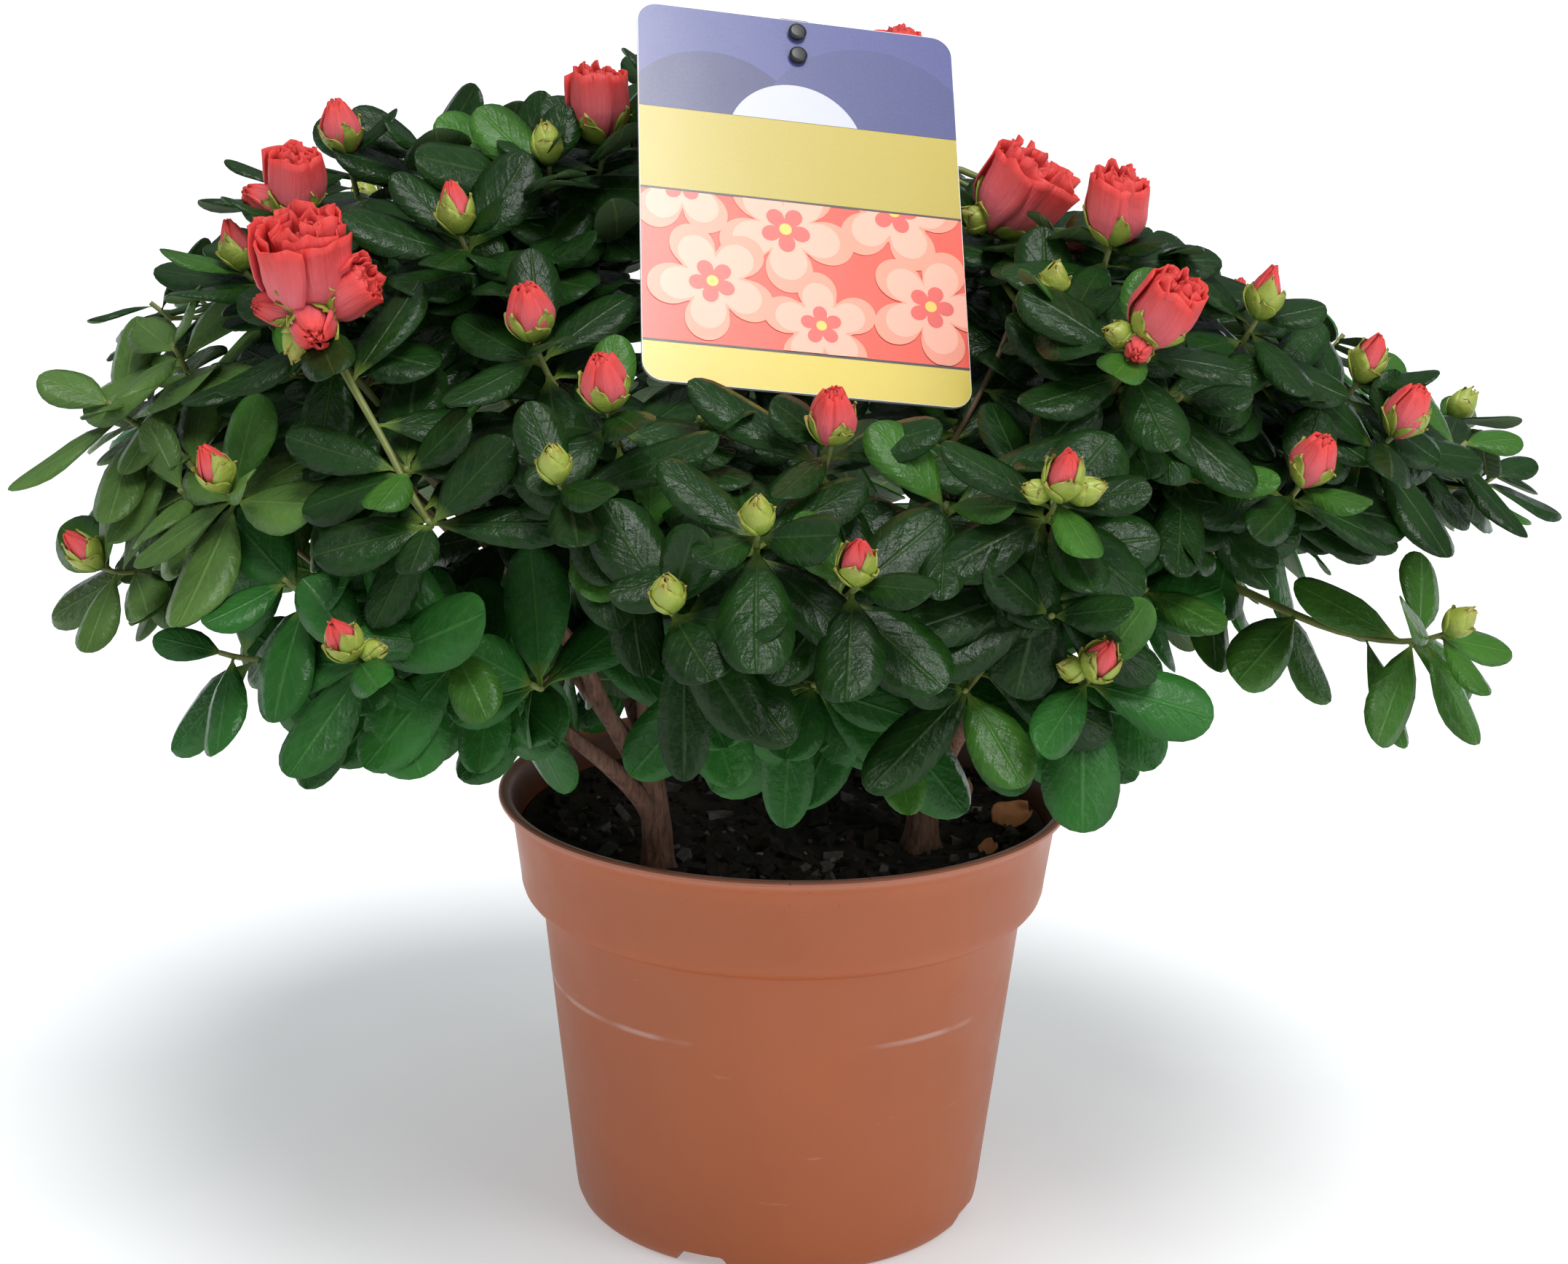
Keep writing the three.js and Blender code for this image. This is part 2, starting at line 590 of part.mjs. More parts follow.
// The leaves of one shoot: a whorl round its tip, and on a leading shoot a few down its stem. A leaf that would leave
// its spray's space or cross something turns a little further round, and is left out if it finds no place.
function addLeaves(made, shoot, leads, otherTwigs, owner, random) {
  const axis = growthAt(shoot.tip);
  const across = Math.abs(axis.z) < 0.9 ? UP.clone().cross(axis).normalize() : new THREE.Vector3(1, 0, 0);
  const other = axis.clone().cross(across);
  const firstTurn = 360 * random();
  const total = LEAVES_IN_WHORL + (leads ? LEAVES_ON_STEM : 0);
  for (let i = 0; i < total; i++) {
    const inWhorl = i < LEAVES_IN_WHORL;
    const back = inWhorl ? 3 + (WHORL_LENGTH * i) / LEAVES_IN_WHORL : WHORL_LENGTH + 12 + 14 * random();
    const root = pointBack(shoot.rings, back);
    for (let attempt = 0; attempt < 7; attempt++) {
      const turn = radians(firstTurn + i * GOLDEN_TURN + attempt * 52);
      const open = radians(inWhorl ? 62 + 6 * i + 10 * random() : 55 + 20 * random());
      const direction = axis.clone().multiplyScalar(Math.cos(open))
        .addScaledVector(across, Math.sin(open) * Math.cos(turn))
        .addScaledVector(other, Math.sin(open) * Math.sin(turn))
        .addScaledVector(UP, -0.08).normalize();
      const face = axis.clone().addScaledVector(UP, 0.35);
      face.addScaledVector(direction, -face.dot(direction)).normalize();
      const length = LEAF.length * (0.82 + 0.3 * random()) * (attempt > 2 ? 0.75 : 1);
      const corners = leafCorners(root, direction, face, length);
      if (!leafFits(corners, owner)) continue;
      const leaf = solidOf(leafGeometry(corners));
      if (obstacle(leaf, owner) || crosses(leaf, made) || crosses(leaf, otherTwigs)) continue;
      made.push(leaf);
      break;
    }
  }
}

function makeCard() {
  const [w, h, r] = [CARD.width / 2, CARD.height / 2, CARD.corner];
  const outline = new THREE.Shape();
  outline.moveTo(-w + r, -h);
  outline.lineTo(w - r, -h);
  outline.absarc(w - r, -h + r, r, -Math.PI / 2, 0);
  outline.lineTo(w, h - r);
  outline.absarc(w - r, h - r, r, 0, Math.PI / 2);
  outline.lineTo(-w + r, h);
  outline.absarc(-w + r, h - r, r, Math.PI / 2, Math.PI);
  outline.lineTo(-w, -h + r);
  outline.absarc(-w + r, -h + r, r, Math.PI, Math.PI * 1.5);
  const sheet = new THREE.ExtrudeGeometry(outline, { depth: CARD.thick, bevelEnabled: false, curveSegments: 3 });
  sheet.rotateX(Math.PI / 2);
  sheet.translate(0, CARD.thick / 2, 0);
  let card = solidOf(sheet);
  for (const height of studHeights()) {
    card = card.subtract(studPiece(STUD.hole, -2, 2, height));
  }
  return solidOf(geometryOf(card).applyMatrix4(cardFrame));
}

function studHeights() {
  const top = CARD.height / 2 - STUD.fromTop;
  return [top, top - STUD.spacing];
}

// A short round bar through the card at a height, from one depth to another along the card's own Y
function studPiece(radius, from, to, height) {
  const bar = new THREE.CylinderGeometry(radius, radius, to - from, STUD.sides);
  bar.translate(0, (from + to) / 2, height);
  return solidOf(bar);
}

function makeStake() {
  const front = -CARD.thick / 2 - GAP;
  const back = CARD.thick / 2 + GAP;
  const [padWidth, padHeight, padThick] = STAKE.pad;
  const middle = studHeights().reduce((a, b) => a + b) / 2;
  const pad = new THREE.BoxGeometry(padWidth, padThick, padHeight);
  pad.translate(0, back + padThick / 2, middle);
  let head = solidOf(pad);
  for (const height of studHeights()) {
    head = head.add(studPiece(STUD.shaft, front - 0.1, back + 0.5, height));
    head = head.add(studPiece(STUD.head, front - STUD.headThick, front, height));
  }
  head = solidOf(geometryOf(head).applyMatrix4(cardFrame));
  const top = new THREE.Vector3(0, back + STAKE.radius + 0.2, middle - padHeight / 2 + 2).applyMatrix4(cardFrame);
  const foot = new THREE.Vector3(...STAKE.foot, SOIL_LEVEL + GAP);
  const intoHead = new THREE.Vector3(0, 0, 1).transformDirection(cardFrame);
  const rings = bend(foot, UP, top, intoHead, 7, () => STAKE.radius);
  return { rings, solid: solidOf(limbGeometry(rings, 6, true)).add(head) };
}

// Build everything
addNode("pot", makePot(), MATERIALS.pot);
addNode("soil", makeSoil(), MATERIALS.soil);

const trunks = TRUNKS.map((trunk) => trunkRings(trunk));
trunks.forEach((rings, i) => {
  addNode(TRUNKS[i].name, solidOf(limbGeometry(rings, TRUNK_SIDES, true)), MATERIALS.bark);
  takes("wood", solidOf(limbGeometry(swollen(rings, 2 * GAP), TRUNK_SIDES, true)));
});

const stake = makeStake();
addNode("card", makeCard(), MATERIALS.card);
addNode("card_stake", stake.solid, MATERIALS.stake);
takes("card", solidOf(limbGeometry(swollen(stake.rings, 2 * GAP), 6, true)));
const cardSpace = new THREE.BoxGeometry(CARD.width + 2, CARD.thick + 6, CARD.height + 2);
takes("card", solidOf(cardSpace.applyMatrix4(cardFrame)));

const boughs = BOUGHS.map((bough) => boughRings(bough, trunks[bough.stem]));
boughs.forEach((rings, i) => {
  const trunk = BOUGHS[i].stem;
  const earlier = boughs.slice(0, i).filter((_, k) => BOUGHS[k].stem === trunk);
  let solid = solidOf(limbGeometry(rings, BOUGH.sides));
  solid = solid.subtract(solidOf(limbGeometry(swollen(trunks[trunk], GAP + 0.1), TRUNK_SIDES, true)));
  for (const other of earlier) {
    solid = solid.subtract(solidOf(limbGeometry(swollen(other, GAP + 0.1), BOUGH.sides)));
  }
  addNode(BOUGHS[i].name, wholePiece(solid), MATERIALS.bark);
  takes(`bough ${i}`, solidOf(limbGeometry(swollen(rings, 2 * GAP), BOUGH.sides)));
});

const sprays = sprayList();
sprays.forEach((spray, i) => {
  const siblings = sprays.slice(0, i).filter((other) => other.bough === spray.bough).length;
  spray.shoots = shootsOf(spray, boughs[spray.bough], siblings, seeded(101 + 17 * i));
});

// A side shoot that would touch a limb, the card or another spray's shoots is left out
sprays.forEach((spray, i) => {
  spray.shoots = spray.shoots.filter((shoot, k) => {
    const guards = [solidOf(limbGeometry(swollen(shoot.rings, 2 * GAP), TWIG.sides))];
    if (shoot.bloom !== "none") guards.push(bloomSolid(shoot, 2 * GAP));
    if (k > 0 && guards.some((guard) => obstacle(guard, i))) return false;
    guards.forEach((guard) => takes(i, guard));
    return true;
  });
});

const sites = sprays.flatMap((spray, i) => spray.shoots.map((shoot) => ({
  owner: i,
  at: shoot.tip.clone().addScaledVector(growthAt(shoot.tip), -6),
})));

sprays.forEach((spray, i) => {
  const random = seeded(4019 + 29 * i);
  const twigs = spray.shoots.map((shoot) => solidOf(limbGeometry(shoot.rings, TWIG.sides)));
  const leaves = spray.shoots.filter((shoot) => shoot.bloom !== "none").map((shoot) => bloomSolid(shoot));
  spray.shoots.forEach((shoot, k) => {
    const otherTwigs = twigs.filter((_, other) => other !== k);
    addLeaves(leaves, shoot, k === 0, otherTwigs, i, random);
  });
  let mass = wasm.Manifold.union([...twigs, ...leaves]);
  mass = mass.subtract(solidOf(limbGeometry(swollen(boughs[spray.bough], GAP + 0.1), BOUGH.sides)));
  for (const other of sprays.slice(0, i).filter((earlier) => earlier.bough === spray.bough)) {
    mass = mass.subtract(solidOf(limbGeometry(swollen(other.shoots[0].rings, GAP + 0.15), TWIG.sides)));
  }
  addNode(`spray_${spray.name}`, wholePiece(mass), MATERIALS.leaf);
});

export default plant;
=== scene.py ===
"""Potted azalea in bud, dressed for a studio picture.

A wide, low evergreen shrub stands in a terracotta-coloured nursery pot. Two woody stems fork into boughs,
which carry leafy shoots by a seeded rule, and the shoots end in buds and half-open flowers. A plant card
leans on the crown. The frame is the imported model's: +Z up, the viewer on the -Y side, the origin under the
pot. Everything is in metres, apart from the tables that say millimetres.
"""

import math

import bpy
import numpy as np
from bpy.props import FloatProperty, FloatVectorProperty, IntProperty, PointerProperty
from mathutils import Matrix, Vector, noise


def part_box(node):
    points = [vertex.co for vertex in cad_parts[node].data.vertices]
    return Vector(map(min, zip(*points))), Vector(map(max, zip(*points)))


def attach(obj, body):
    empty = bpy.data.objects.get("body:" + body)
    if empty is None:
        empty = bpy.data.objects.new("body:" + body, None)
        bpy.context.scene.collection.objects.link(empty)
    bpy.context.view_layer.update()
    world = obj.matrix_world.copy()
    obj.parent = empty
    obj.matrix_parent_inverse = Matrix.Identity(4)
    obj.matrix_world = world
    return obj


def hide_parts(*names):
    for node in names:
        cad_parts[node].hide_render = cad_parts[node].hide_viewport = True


bl_info = {
    "name": "Potted Azalea",
    "version": (1, 0, 0),
    "blender": (4, 5, 0),
    "location": "3D View > Sidebar > Azalea",
    "description": "Builds a potted azalea in bud with its plant card, lights and camera",
    "category": "Add Mesh",
}

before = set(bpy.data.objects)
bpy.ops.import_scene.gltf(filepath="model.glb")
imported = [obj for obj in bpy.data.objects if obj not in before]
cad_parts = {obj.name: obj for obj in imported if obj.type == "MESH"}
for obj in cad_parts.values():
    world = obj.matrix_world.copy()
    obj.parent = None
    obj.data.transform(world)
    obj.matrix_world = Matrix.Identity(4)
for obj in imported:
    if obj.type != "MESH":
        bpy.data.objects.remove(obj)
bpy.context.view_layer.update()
_, POT_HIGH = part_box("pot")

MM = 0.001
UP = Vector((0, 0, 1))
GOLDEN_TURN = 137.508
EYE = Vector((-0.0008, -0.710, 0.339))

# Pot wall as (radius, height) in millimetres: under the base, up the outside, over the lip, down the inside
POT_UNDER = [(11.6, 0), (12, 0.5), (12, 2), (42, 2), (42, 0.5), (42.5, 0)]
POT_OUTSIDE = [
    (47.4, 0), (48.6, 0.4), (49.7, 1.5), (50.5, 3.4), (50.9, 6), (52.6, 21), (54.6, 38.5), (56.6, 56),
    (58.3, 71), (59.1, 78.6), (59.4, 79.5), (60.2, 79.9), (61.6, 80.5), (62.8, 81.4), (63.7, 82.6),
    (64.3, 84.4), (64.6, 87), (65.4, 93), (66.3, 99.5), (67.0, 102.4), (68.3, 104.2), (69.4, 105.1),
    (69.95, 105.9), (69.9, 106.5), (69.5, 106.9), (69.0, 107),
]
POT_INSIDE = [
    (67.9, 106.9), (67.2, 106.4), (66.6, 105.2), (65.6, 102.6), (64.8, 99.5), (63.2, 86), (62.6, 83.6),
    (60.6, 82.2), (58.4, 81.3), (57.8, 80), (49.4, 6.6), (48.6, 5), (47.4, 4.6), (3, 4.6),
]
# Lip radius and height of the pot that those tables describe
POT_SIZE = (70, 107)
# Drainage: how many holes and notches, the holes' radius and ring, and a notch's measures, in metres
HOLES, NOTCHES = 6, 4
HOLE_RADIUS, HOLE_RING = 0.0045, 0.028
NOTCH = {"width": 0.011, "height": 0.004, "depth": 0.012, "flare": 0.0025, "out": 0.0475}
FIRST_NOTCH = -110.7

# Crown and limbs, as in the solids: millimetres and degrees
CROWN = {"level": 165, "half_width": 188, "half_depth": 160, "dome_height": 122, "bowl_depth": 50}
SOIL_LEVEL = 98
TRUNKS = [
    {
        "name": "stem_left", "foot": (-29, -38), "lean": (-3, 3), "top": 126, "flare": 5.4, "radius": 3.9,
        "tip": 2.9,
    },
    {
        "name": "stem_right", "foot": (33, -15), "lean": (3, 2), "top": 131, "flare": 5.2, "radius": 3.8,
        "tip": 2.8,
    },
]
# name, stem, height at which it leaves the stem, turn, rise, reach, arch
BOUGHS = [
    ("left_front", 0, 116, -129, 25, 0.72, 0.3),
    ("left_low", 0, 111, -131, -13, 0.6, 0.35),
    ("left_side", 0, 119, -170, 18, 0.52, 0.35),
    ("rear_left", 0, 124, 140, 24, 0.5, 0.35),
    ("top_left", 0, 127, -150, 62, 0.52, 0.4),
    ("front", 1, 112, -94, 8, 0.58, 0.4),
    ("right_low", 1, 108, -57, -8, 0.52, 0.3),
    ("right_front", 1, 118, -62, 32, 0.6, 0.35),
    ("right_side", 1, 121, -30, 12, 0.58, 0.35),
    ("rear_right", 1, 126, 35, 24, 0.5, 0.35),
    ("rear", 1, 130, 92, 26, 0.5, 0.45),
    ("top_right", 1, 132, -42, 64, 0.5, 0.4),
]
BOUGH_RINGS = 6
# Sprays that face the viewer. Each row: name, bough, leaf shade, how far the leaves hang, and its shoots as
# (turn, rise, reach, bud) with the leading one first. The place is the middle of the bud.
FRONT_SPRAYS = [
    ("left_side", 2, "olive", 0.2, [
        (-158, 23, 0.94, "none"), (-156, 6, 0.92, "tipped"), (-155, 31, 0.93, "none"),
        (-137, 20, 0.93, "tipped"),
    ]),
    ("left_low", 1, "mid", 0.5, [
        (-120, 6, 0.95, "tipped"), (-138, -1, 0.86, "none"), (-131, 10, 0.86, "none"),
    ]),
    ("left_shoulder", 2, "deep", 0.3, [
        (-152, 49, 1.02, "half"), (-163, 56, 1.02, "small"), (-153, 42, 0.98, "tipped"),
    ]),
    ("left_flowers", 0, "deep", 0.35, [
        (-134, 40, 1.03, "open"), (-120, 24, 0.9, "none"), (-116, 19, 0.92, "none"),
    ]),
    ("left_front_low", 1, "mid", 0.7, [(-110, 1, 0.8, "none"), (-115, 6, 0.86, "none")]),
    ("front_left", 5, "deep", 0.32, [
        (-104, 33, 0.97, "small"), (-114, 41, 0.93, "small"), (-106, 25, 0.98, "green"),
        (-98, 33, 0.84, "none"),
    ]),
    ("front", 5, "deep", 0.28, [
        (-92, 21, 1.03, "green"), (-86, 17, 1.02, "tipped"), (-97, 14, 1.03, "green"),
        (-87, 31, 0.94, "small"),
    ]),
    ("front_low", 5, "mid", 0.7, [
        (-88, 3, 0.8, "none"), (-81, 0, 0.77, "none"), (-97, 5, 0.84, "none"),
    ]),
    ("front_right", 7, "deep", 0.32, [
        (-73, 24, 1.04, "tipped"), (-79, 23, 0.92, "none"), (-73, 12, 0.95, "none"),
    ]),
    ("right_low", 6, "mid", 0.5, [
        (-70, 7, 0.96, "tipped"), (-76, 1, 0.75, "none"), (-62, 13, 0.84, "none"),
    ]),
    ("right_front", 8, "deep", 0.35, [
        (-49, 24, 0.95, "small"), (-55, 17, 0.85, "none"), (-57, 27, 0.86, "none"),
    ]),
    ("right_side", 8, "deep", 0.32, [
        (-37, 27, 0.97, "small"), (-36, 33, 0.96, "tipped"), (-24, 22, 0.93, "none"),
    ]),
    # Its leaves take the young green, here painted paler for the light that shines through them
    ("right_far", 8, "fresh", 0.7, [(-34, 4, 0.93, "green")]),
    ("right_flowers", 7, "deep", 0.4, [
        (-62, 39, 1.04, "half"), (-56, 51, 1.01, "half"), (-56, 33, 0.9, "none"),
    ]),
    ("right_shoulder", 11, "deep", 0.3, [
        (-45, 41, 0.98, "tipped"), (-47, 49, 0.92, "none"), (-42, 34, 0.88, "none"),
    ]),
    ("top_right", 11, "deep", 0.3, [
        (-54, 63, 0.88, "open"), (-55, 55, 0.88, "none"), (-64, 46, 0.93, "green"),
    ]),
    ("top_left", 4, "deep", 0.3, [
        (-131, 52, 0.95, "tipped"), (-132, 69, 0.97, "half"), (-124, 50, 0.84, "none"),
    ]),
    ("top_rear_left", 4, "deep", 0.25, [
        (-163, 60, 0.93, "none"), (-145, 63, 0.9, "none"), (-132, 63, 0.95, "green"),
    ]),
    ("top", 11, "deep", 0.25, [
        (41, 80.3, 0.97, "half"), (120, 70, 0.95, "none"), (5, 45, 0.8, "none"),
    ]),
]
# Rings of rear sprays: name, first turn, step, reach, spread, leaf shade, and the rise of each spray
REAR_RINGS = [
    ("rear_low", 16, 34.5, 0.89, 15, "mid", (16, 12, 9, 12, 12)),
    ("rear_high", 4, 37, 0.92, 15, "deep", (20, 27, 44, 50, 45)),
]
# Twigs inside the crown: bough, share of its way where they leave it, how far to its right they reach
INNER_TWIGS = [
    (3, 0.34, -14), (3, 0.56, 14), (3, 0.78, -14), (9, 0.34, -14), (9, 0.56, 14), (9, 0.78, -14),
    (10, 0.3, -18), (10, 0.48, 18), (10, 0.66, -18), (10, 0.84, 18), (8, 0.45, -40), (8, 0.75, -44),
    (9, 0.7, 28), (9, 0.95, 22), (1, 0.4, 9), (1, 0.62, -8), (1, 0.66, 10), (1, 0.86, 9), (2, 0.35, 12),
    (2, 0.6, 14), (8, 0.98, -38), (9, 0.98, -30), (3, 0.18, 13), (3, 0.3, 5), (3, 0.42, 12),
]
# Bough of each rear spray of a ring, and its buds
REAR_BOUGHS = (9, 9, 10, 3, 3)
REAR_BUDS = ("green none none", "tipped none half", "half none green", "none half none", "green none none")
# Smaller buds round the foot of a shoot's own bud, by spray and shoot number: kind, direction, size
CLUSTERS = {
    ("left_flowers", 0): [
        ("half", (0.78, -0.25, 0.5), 0.92), ("small", (0.2, -0.9, -0.2), 1.05),
        ("green", (-0.15, -0.6, -0.6), 1.15), ("small", (-0.8, -0.3, 0.15), 0.8),
    ],
    ("left_shoulder", 0): [("small", (-0.85, -0.2, 0.45), 0.85)],
    ("front_right", 0): [("green", (0.85, -0.35, 0.35), 0.85), ("green", (-0.8, -0.4, 0.35), 0.7)],
    ("right_flowers", 0): [("green", (-0.8, -0.35, 0.3), 0.8), ("small", (-0.25, -0.9, -0.1), 0.6)],
    ("right_side", 0): [("green", (0.7, -0.3, 0.6), 0.8)],
    ("left_low", 0): [("green", (0.75, -0.45, 0.3), 0.7)],
    ("right_low", 0): [("green", (-0.75, -0.45, 0.35), 0.75)],
    ("top_right", 0): [("green", (-0.6, -0.5, 0.5), 0.9)],
}
# Which way a shoot's own bud points, where it doesn't simply follow its shoot
LEANING = {
    ("left_flowers", 0): (-0.08, -0.3, 1),
    ("left_shoulder", 0): (0.02, -0.3, 1),
    ("right_flowers", 0): (0.42, -0.4, 0.85),
    ("right_flowers", 1): (0.05, -0.25, 1),
    ("top_right", 0): (0.5, -0.15, 0.8),
    ("front_left", 1): (-0.1, -0.35, 0.9),
}
# How far apart the sprays of one bough leave it, and the points of their leading stems, as in the solids
SIBLING_STEP = 6
STEM_RINGS = 4
# Points of a drawn shoot and of a finer twig
SHOOT_POINTS = 14
TWIG_POINTS = 8
# Finer twigs, by whether their spray faces the viewer: how far to the side of their parent's tip they end, in
# metres, and how far out in the crown. Twigs that a rear shoot may have
TWIG_REACH = {True: (0.016, 0.026), False: (0.018, 0.042)}
TWIG_LIMIT = {True: 0.93, False: 1.0}
REAR_TWIGS = 8
# How low the finer twigs and their leaves come: at the crown's outside by their turn, and further in
SKIRT = [
    (-180, 152), (-150, 158), (-135, 165), (-125, 167), (-108, 158), (-90, 150), (-72, 152), (-62, 166),
    (-52, 187), (-20, 188), (5, 171), (30, 150), (150, 150), (180, 156),
]
INNER_SKIRT = 143
# Least height of an inner twig's tip in metres, and the place in its spray that no other shoot has
LOWEST_INNER = 0.146
INNER_NUMBER = 9
# How high the crown comes on its right side, which lies lower than the left: x, height as the viewer sees it,
# to whom a point looks lower the nearer it is
SEEN_SLOPE = 0.155
ROOF = [(26, 400), (36, 262), (60, 252), (90, 248), (105, 236), (140, 224), (174, 202), (190, 186)]

# Buds and flowers: length and width in millimetres
BLOOMS = {
    "none": None, "green": (10, 7), "tipped": (12, 8), "small": (13, 9), "half": (17, 12.5), "open": (21, 17),
}

# Plant card, as in the solids: millimetres and degrees
CARD_CENTRE = (1.3, -70.9, 258.7)
CARD_TURNS = {"yaw": 18, "lean": -36.9, "tilt": 8.2}
STUD = {"from_top": 3.4, "spacing": 5.8, "radius": 2, "hole": 1.5, "rise": 1.3}
STAKE_FOOT = (9, 10)
# The pad behind the card and the rod's radius, in metres
PAD_SIZE = (0.007, 0.0016, 0.015)
ROD_RADIUS = 0.0015

# What every colour setting has
COLOR = {"size": 3, "min": 0, "max": 1, "subtype": "COLOR"}


class AzaleaPot(bpy.types.PropertyGroup):
    """Sizes and colour of the nursery pot."""

    lip_radius: FloatProperty(
        name="Lip radius", description="From the pot's axis to the outside of its lip",
        default=POT_HIGH.x, min=0.04, max=0.15, unit="LENGTH",
    )
    height: FloatProperty(
        name="Height", description="From the table to the top of the lip",
        default=POT_HIGH.z, min=0.05, max=0.25, unit="LENGTH",
    )
    sides: IntProperty(name="Sides", description="Faces round the wall", default=144, min=48, max=256)
    color: FloatVectorProperty(
        name="Colour", description="Colour of the pot's plastic",
        default=(0.375, 0.090, 0.0235), **COLOR,
    )


class AzaleaSoil(bpy.types.PropertyGroup):
    """Peat in the pot and what lies on it."""

    lump: FloatProperty(
        name="Lump height", description="How far lumps of peat stand out of the surface",
        default=0.0042, min=0, max=0.01, unit="LENGTH",
    )
    crumbs: IntProperty(
        name="Crumbs", description="Loose crumbs on the surface", default=620, min=0, max=2000,
    )
    color: FloatVectorProperty(
        name="Colour", description="Colour of moist peat",
        default=(0.013, 0.009, 0.007), **COLOR,
    )


class AzaleaWood(bpy.types.PropertyGroup):
    """Bark of the stems and boughs."""

    relief: FloatProperty(
        name="Bark relief", description="Depth of the furrows on the stems",
        default=0.00055, min=0, max=0.003, unit="LENGTH",
    )
    color: FloatVectorProperty(
        name="Bark colour", description="Colour of the old wood",
        default=(0.135, 0.056, 0.031), **COLOR,
    )
    young: FloatVectorProperty(
        name="Green wood colour", description="Colour of young shoots",
        default=(0.135, 0.16, 0.034), **COLOR,
    )


class AzaleaLeaves(bpy.types.PropertyGroup):
    """Leaves and how densely they stand."""

    length: FloatProperty(
        name="Leaf length", description="Length of a full-grown leaf with its stalk",
        default=0.0265, min=0.01, max=0.08, unit="LENGTH",
    )
    width: FloatProperty(
        name="Leaf width", description="Width of a full-grown leaf at its widest",
        default=0.0132, min=0.005, max=0.05, unit="LENGTH",
    )
    whorl: IntProperty(
        name="Leaves in a whorl", description="Leaves round the tip of a shoot", default=8, min=3, max=16,
    )
    spacing: FloatProperty(
        name="Shoot spacing", description="Least distance between the tips of two shoots",
        default=0.0205, min=0.01, max=0.06, unit="LENGTH",
    )
    inner_spacing: FloatProperty(
        name="Inner spacing", description="Least distance between the shoots inside the crown",
        default=0.027, min=0.01, max=0.08, unit="LENGTH",
    )
    seed: IntProperty(name="Seed", description="Where the random numbers start", default=101, min=0)
    deep: FloatVectorProperty(
        name="Deep green", description="Full-grown leaves in the light",
        default=(0.0056, 0.0272, 0.0031), **COLOR,
    )
    mid: FloatVectorProperty(
        name="Mid green", description="Leaves of the lower shoots",
        default=(0.0152, 0.084, 0.0125), **COLOR,
    )
    # Young leaves round the buds, and the leaves of the long right twig, painted paler for light shining
    # through them
    fresh: FloatVectorProperty(
        name="Fresh green", description="Young leaves round the buds",
        default=(0.032, 0.105, 0.012), **COLOR,
    )
    olive: FloatVectorProperty(
        name="Olive green", description="Pale leaves of the far left shoots",
        default=(0.066, 0.134, 0.028), **COLOR,
    )
    underside: FloatVectorProperty(
        name="Underside", description="Matte lower side of every leaf",
        default=(0.085, 0.15, 0.055), **COLOR,
    )


class AzaleaBlossom(bpy.types.PropertyGroup):
    """Colours of buds and petals."""

    petal: FloatVectorProperty(
        name="Petal tips", description="Coral red of the petals' upper part",
        default=(0.68, 0.042, 0.035), **COLOR,
    )
    base: FloatVectorProperty(
        name="Petal bases", description="Pink of the petals' lower part",
        default=(0.66, 0.125, 0.15), **COLOR,
    )
    scale: FloatVectorProperty(
        name="Bud scales", description="Yellow-green of scales and sepals",
        default=(0.27, 0.33, 0.045), **COLOR,
    )


class AzaleaCard(bpy.types.PropertyGroup):
    """Sizes and print colours of the plant card."""

    width: FloatProperty(
        name="Width", description="Width of the card", default=0.070, min=0.02, max=0.2, unit="LENGTH",
    )
    height: FloatProperty(
        name="Height", description="Height of the card", default=0.090, min=0.02, max=0.3, unit="LENGTH",
    )
    thick: FloatProperty(
        name="Thickness", description="Thickness of the sheet",
        default=0.0008, min=0.0002, max=0.003, unit="LENGTH",
    )
    corner: FloatProperty(
        name="Corner radius", description="Radius of the rounded corners",
        default=0.0045, min=0, max=0.02, unit="LENGTH",
    )
    gold: FloatVectorProperty(
        name="Gold", description="Ground of the band and the foot strip",
        default=(0.465, 0.364, 0.058), **COLOR,
    )
    sky: FloatVectorProperty(
        name="Lavender", description="Ground of the top panel",
        default=(0.072, 0.078, 0.235), **COLOR,
    )
    coral: FloatVectorProperty(
        name="Coral", description="Ground of the flower panel",
        default=(0.80, 0.085, 0.05), **COLOR,
    )


class AzaleaStage(bpy.types.PropertyGroup):
    """Camera, lights and floor."""

    lens: FloatProperty(
        name="Lens", description="Focal length on a 36 mm sensor", default=69.7, min=20, max=200,
    )
    pitch: FloatProperty(
        name="Pitch", description="How far the camera looks down",
        default=math.radians(15.2), min=0, max=1.5, subtype="ANGLE",
    )
    roll: FloatProperty(
        name="Roll", description="Turn of the camera about its own axis",
        default=math.radians(1.1), min=-0.5, max=0.5, subtype="ANGLE",
    )
    floor: FloatVectorProperty(
        name="Floor colour", description="Paint of the studio floor",
        default=(0.7, 0.7, 0.7), **COLOR,
    )


SETTINGS = {
    "azalea_pot": AzaleaPot,
    "azalea_soil": AzaleaSoil,
    "azalea_wood": AzaleaWood,
    "azalea_leaves": AzaleaLeaves,
    "azalea_blossom": AzaleaBlossom,
    "azalea_card": AzaleaCard,
    "azalea_stage": AzaleaStage,
}


def seeded(seed):
    """A function that draws seeded random numbers from 0 to 1, the same ones as the solids use."""
    state = seed & 0xFFFFFFFF

    def draw():
        nonlocal state
        state = (state + 0x6D2B79F5) & 0xFFFFFFFF
        t = state
        t = ((t ^ (t >> 15)) * (t | 1)) & 0xFFFFFFFF
        t ^= (t + (((t ^ (t >> 7)) * (t | 61)) & 0xFFFFFFFF)) & 0xFFFFFFFF
        return ((t ^ (t >> 14)) & 0xFFFFFFFF) / 4294967296

    return draw


def mix(a, b, share):
    return a + (b - a) * share


# Materials


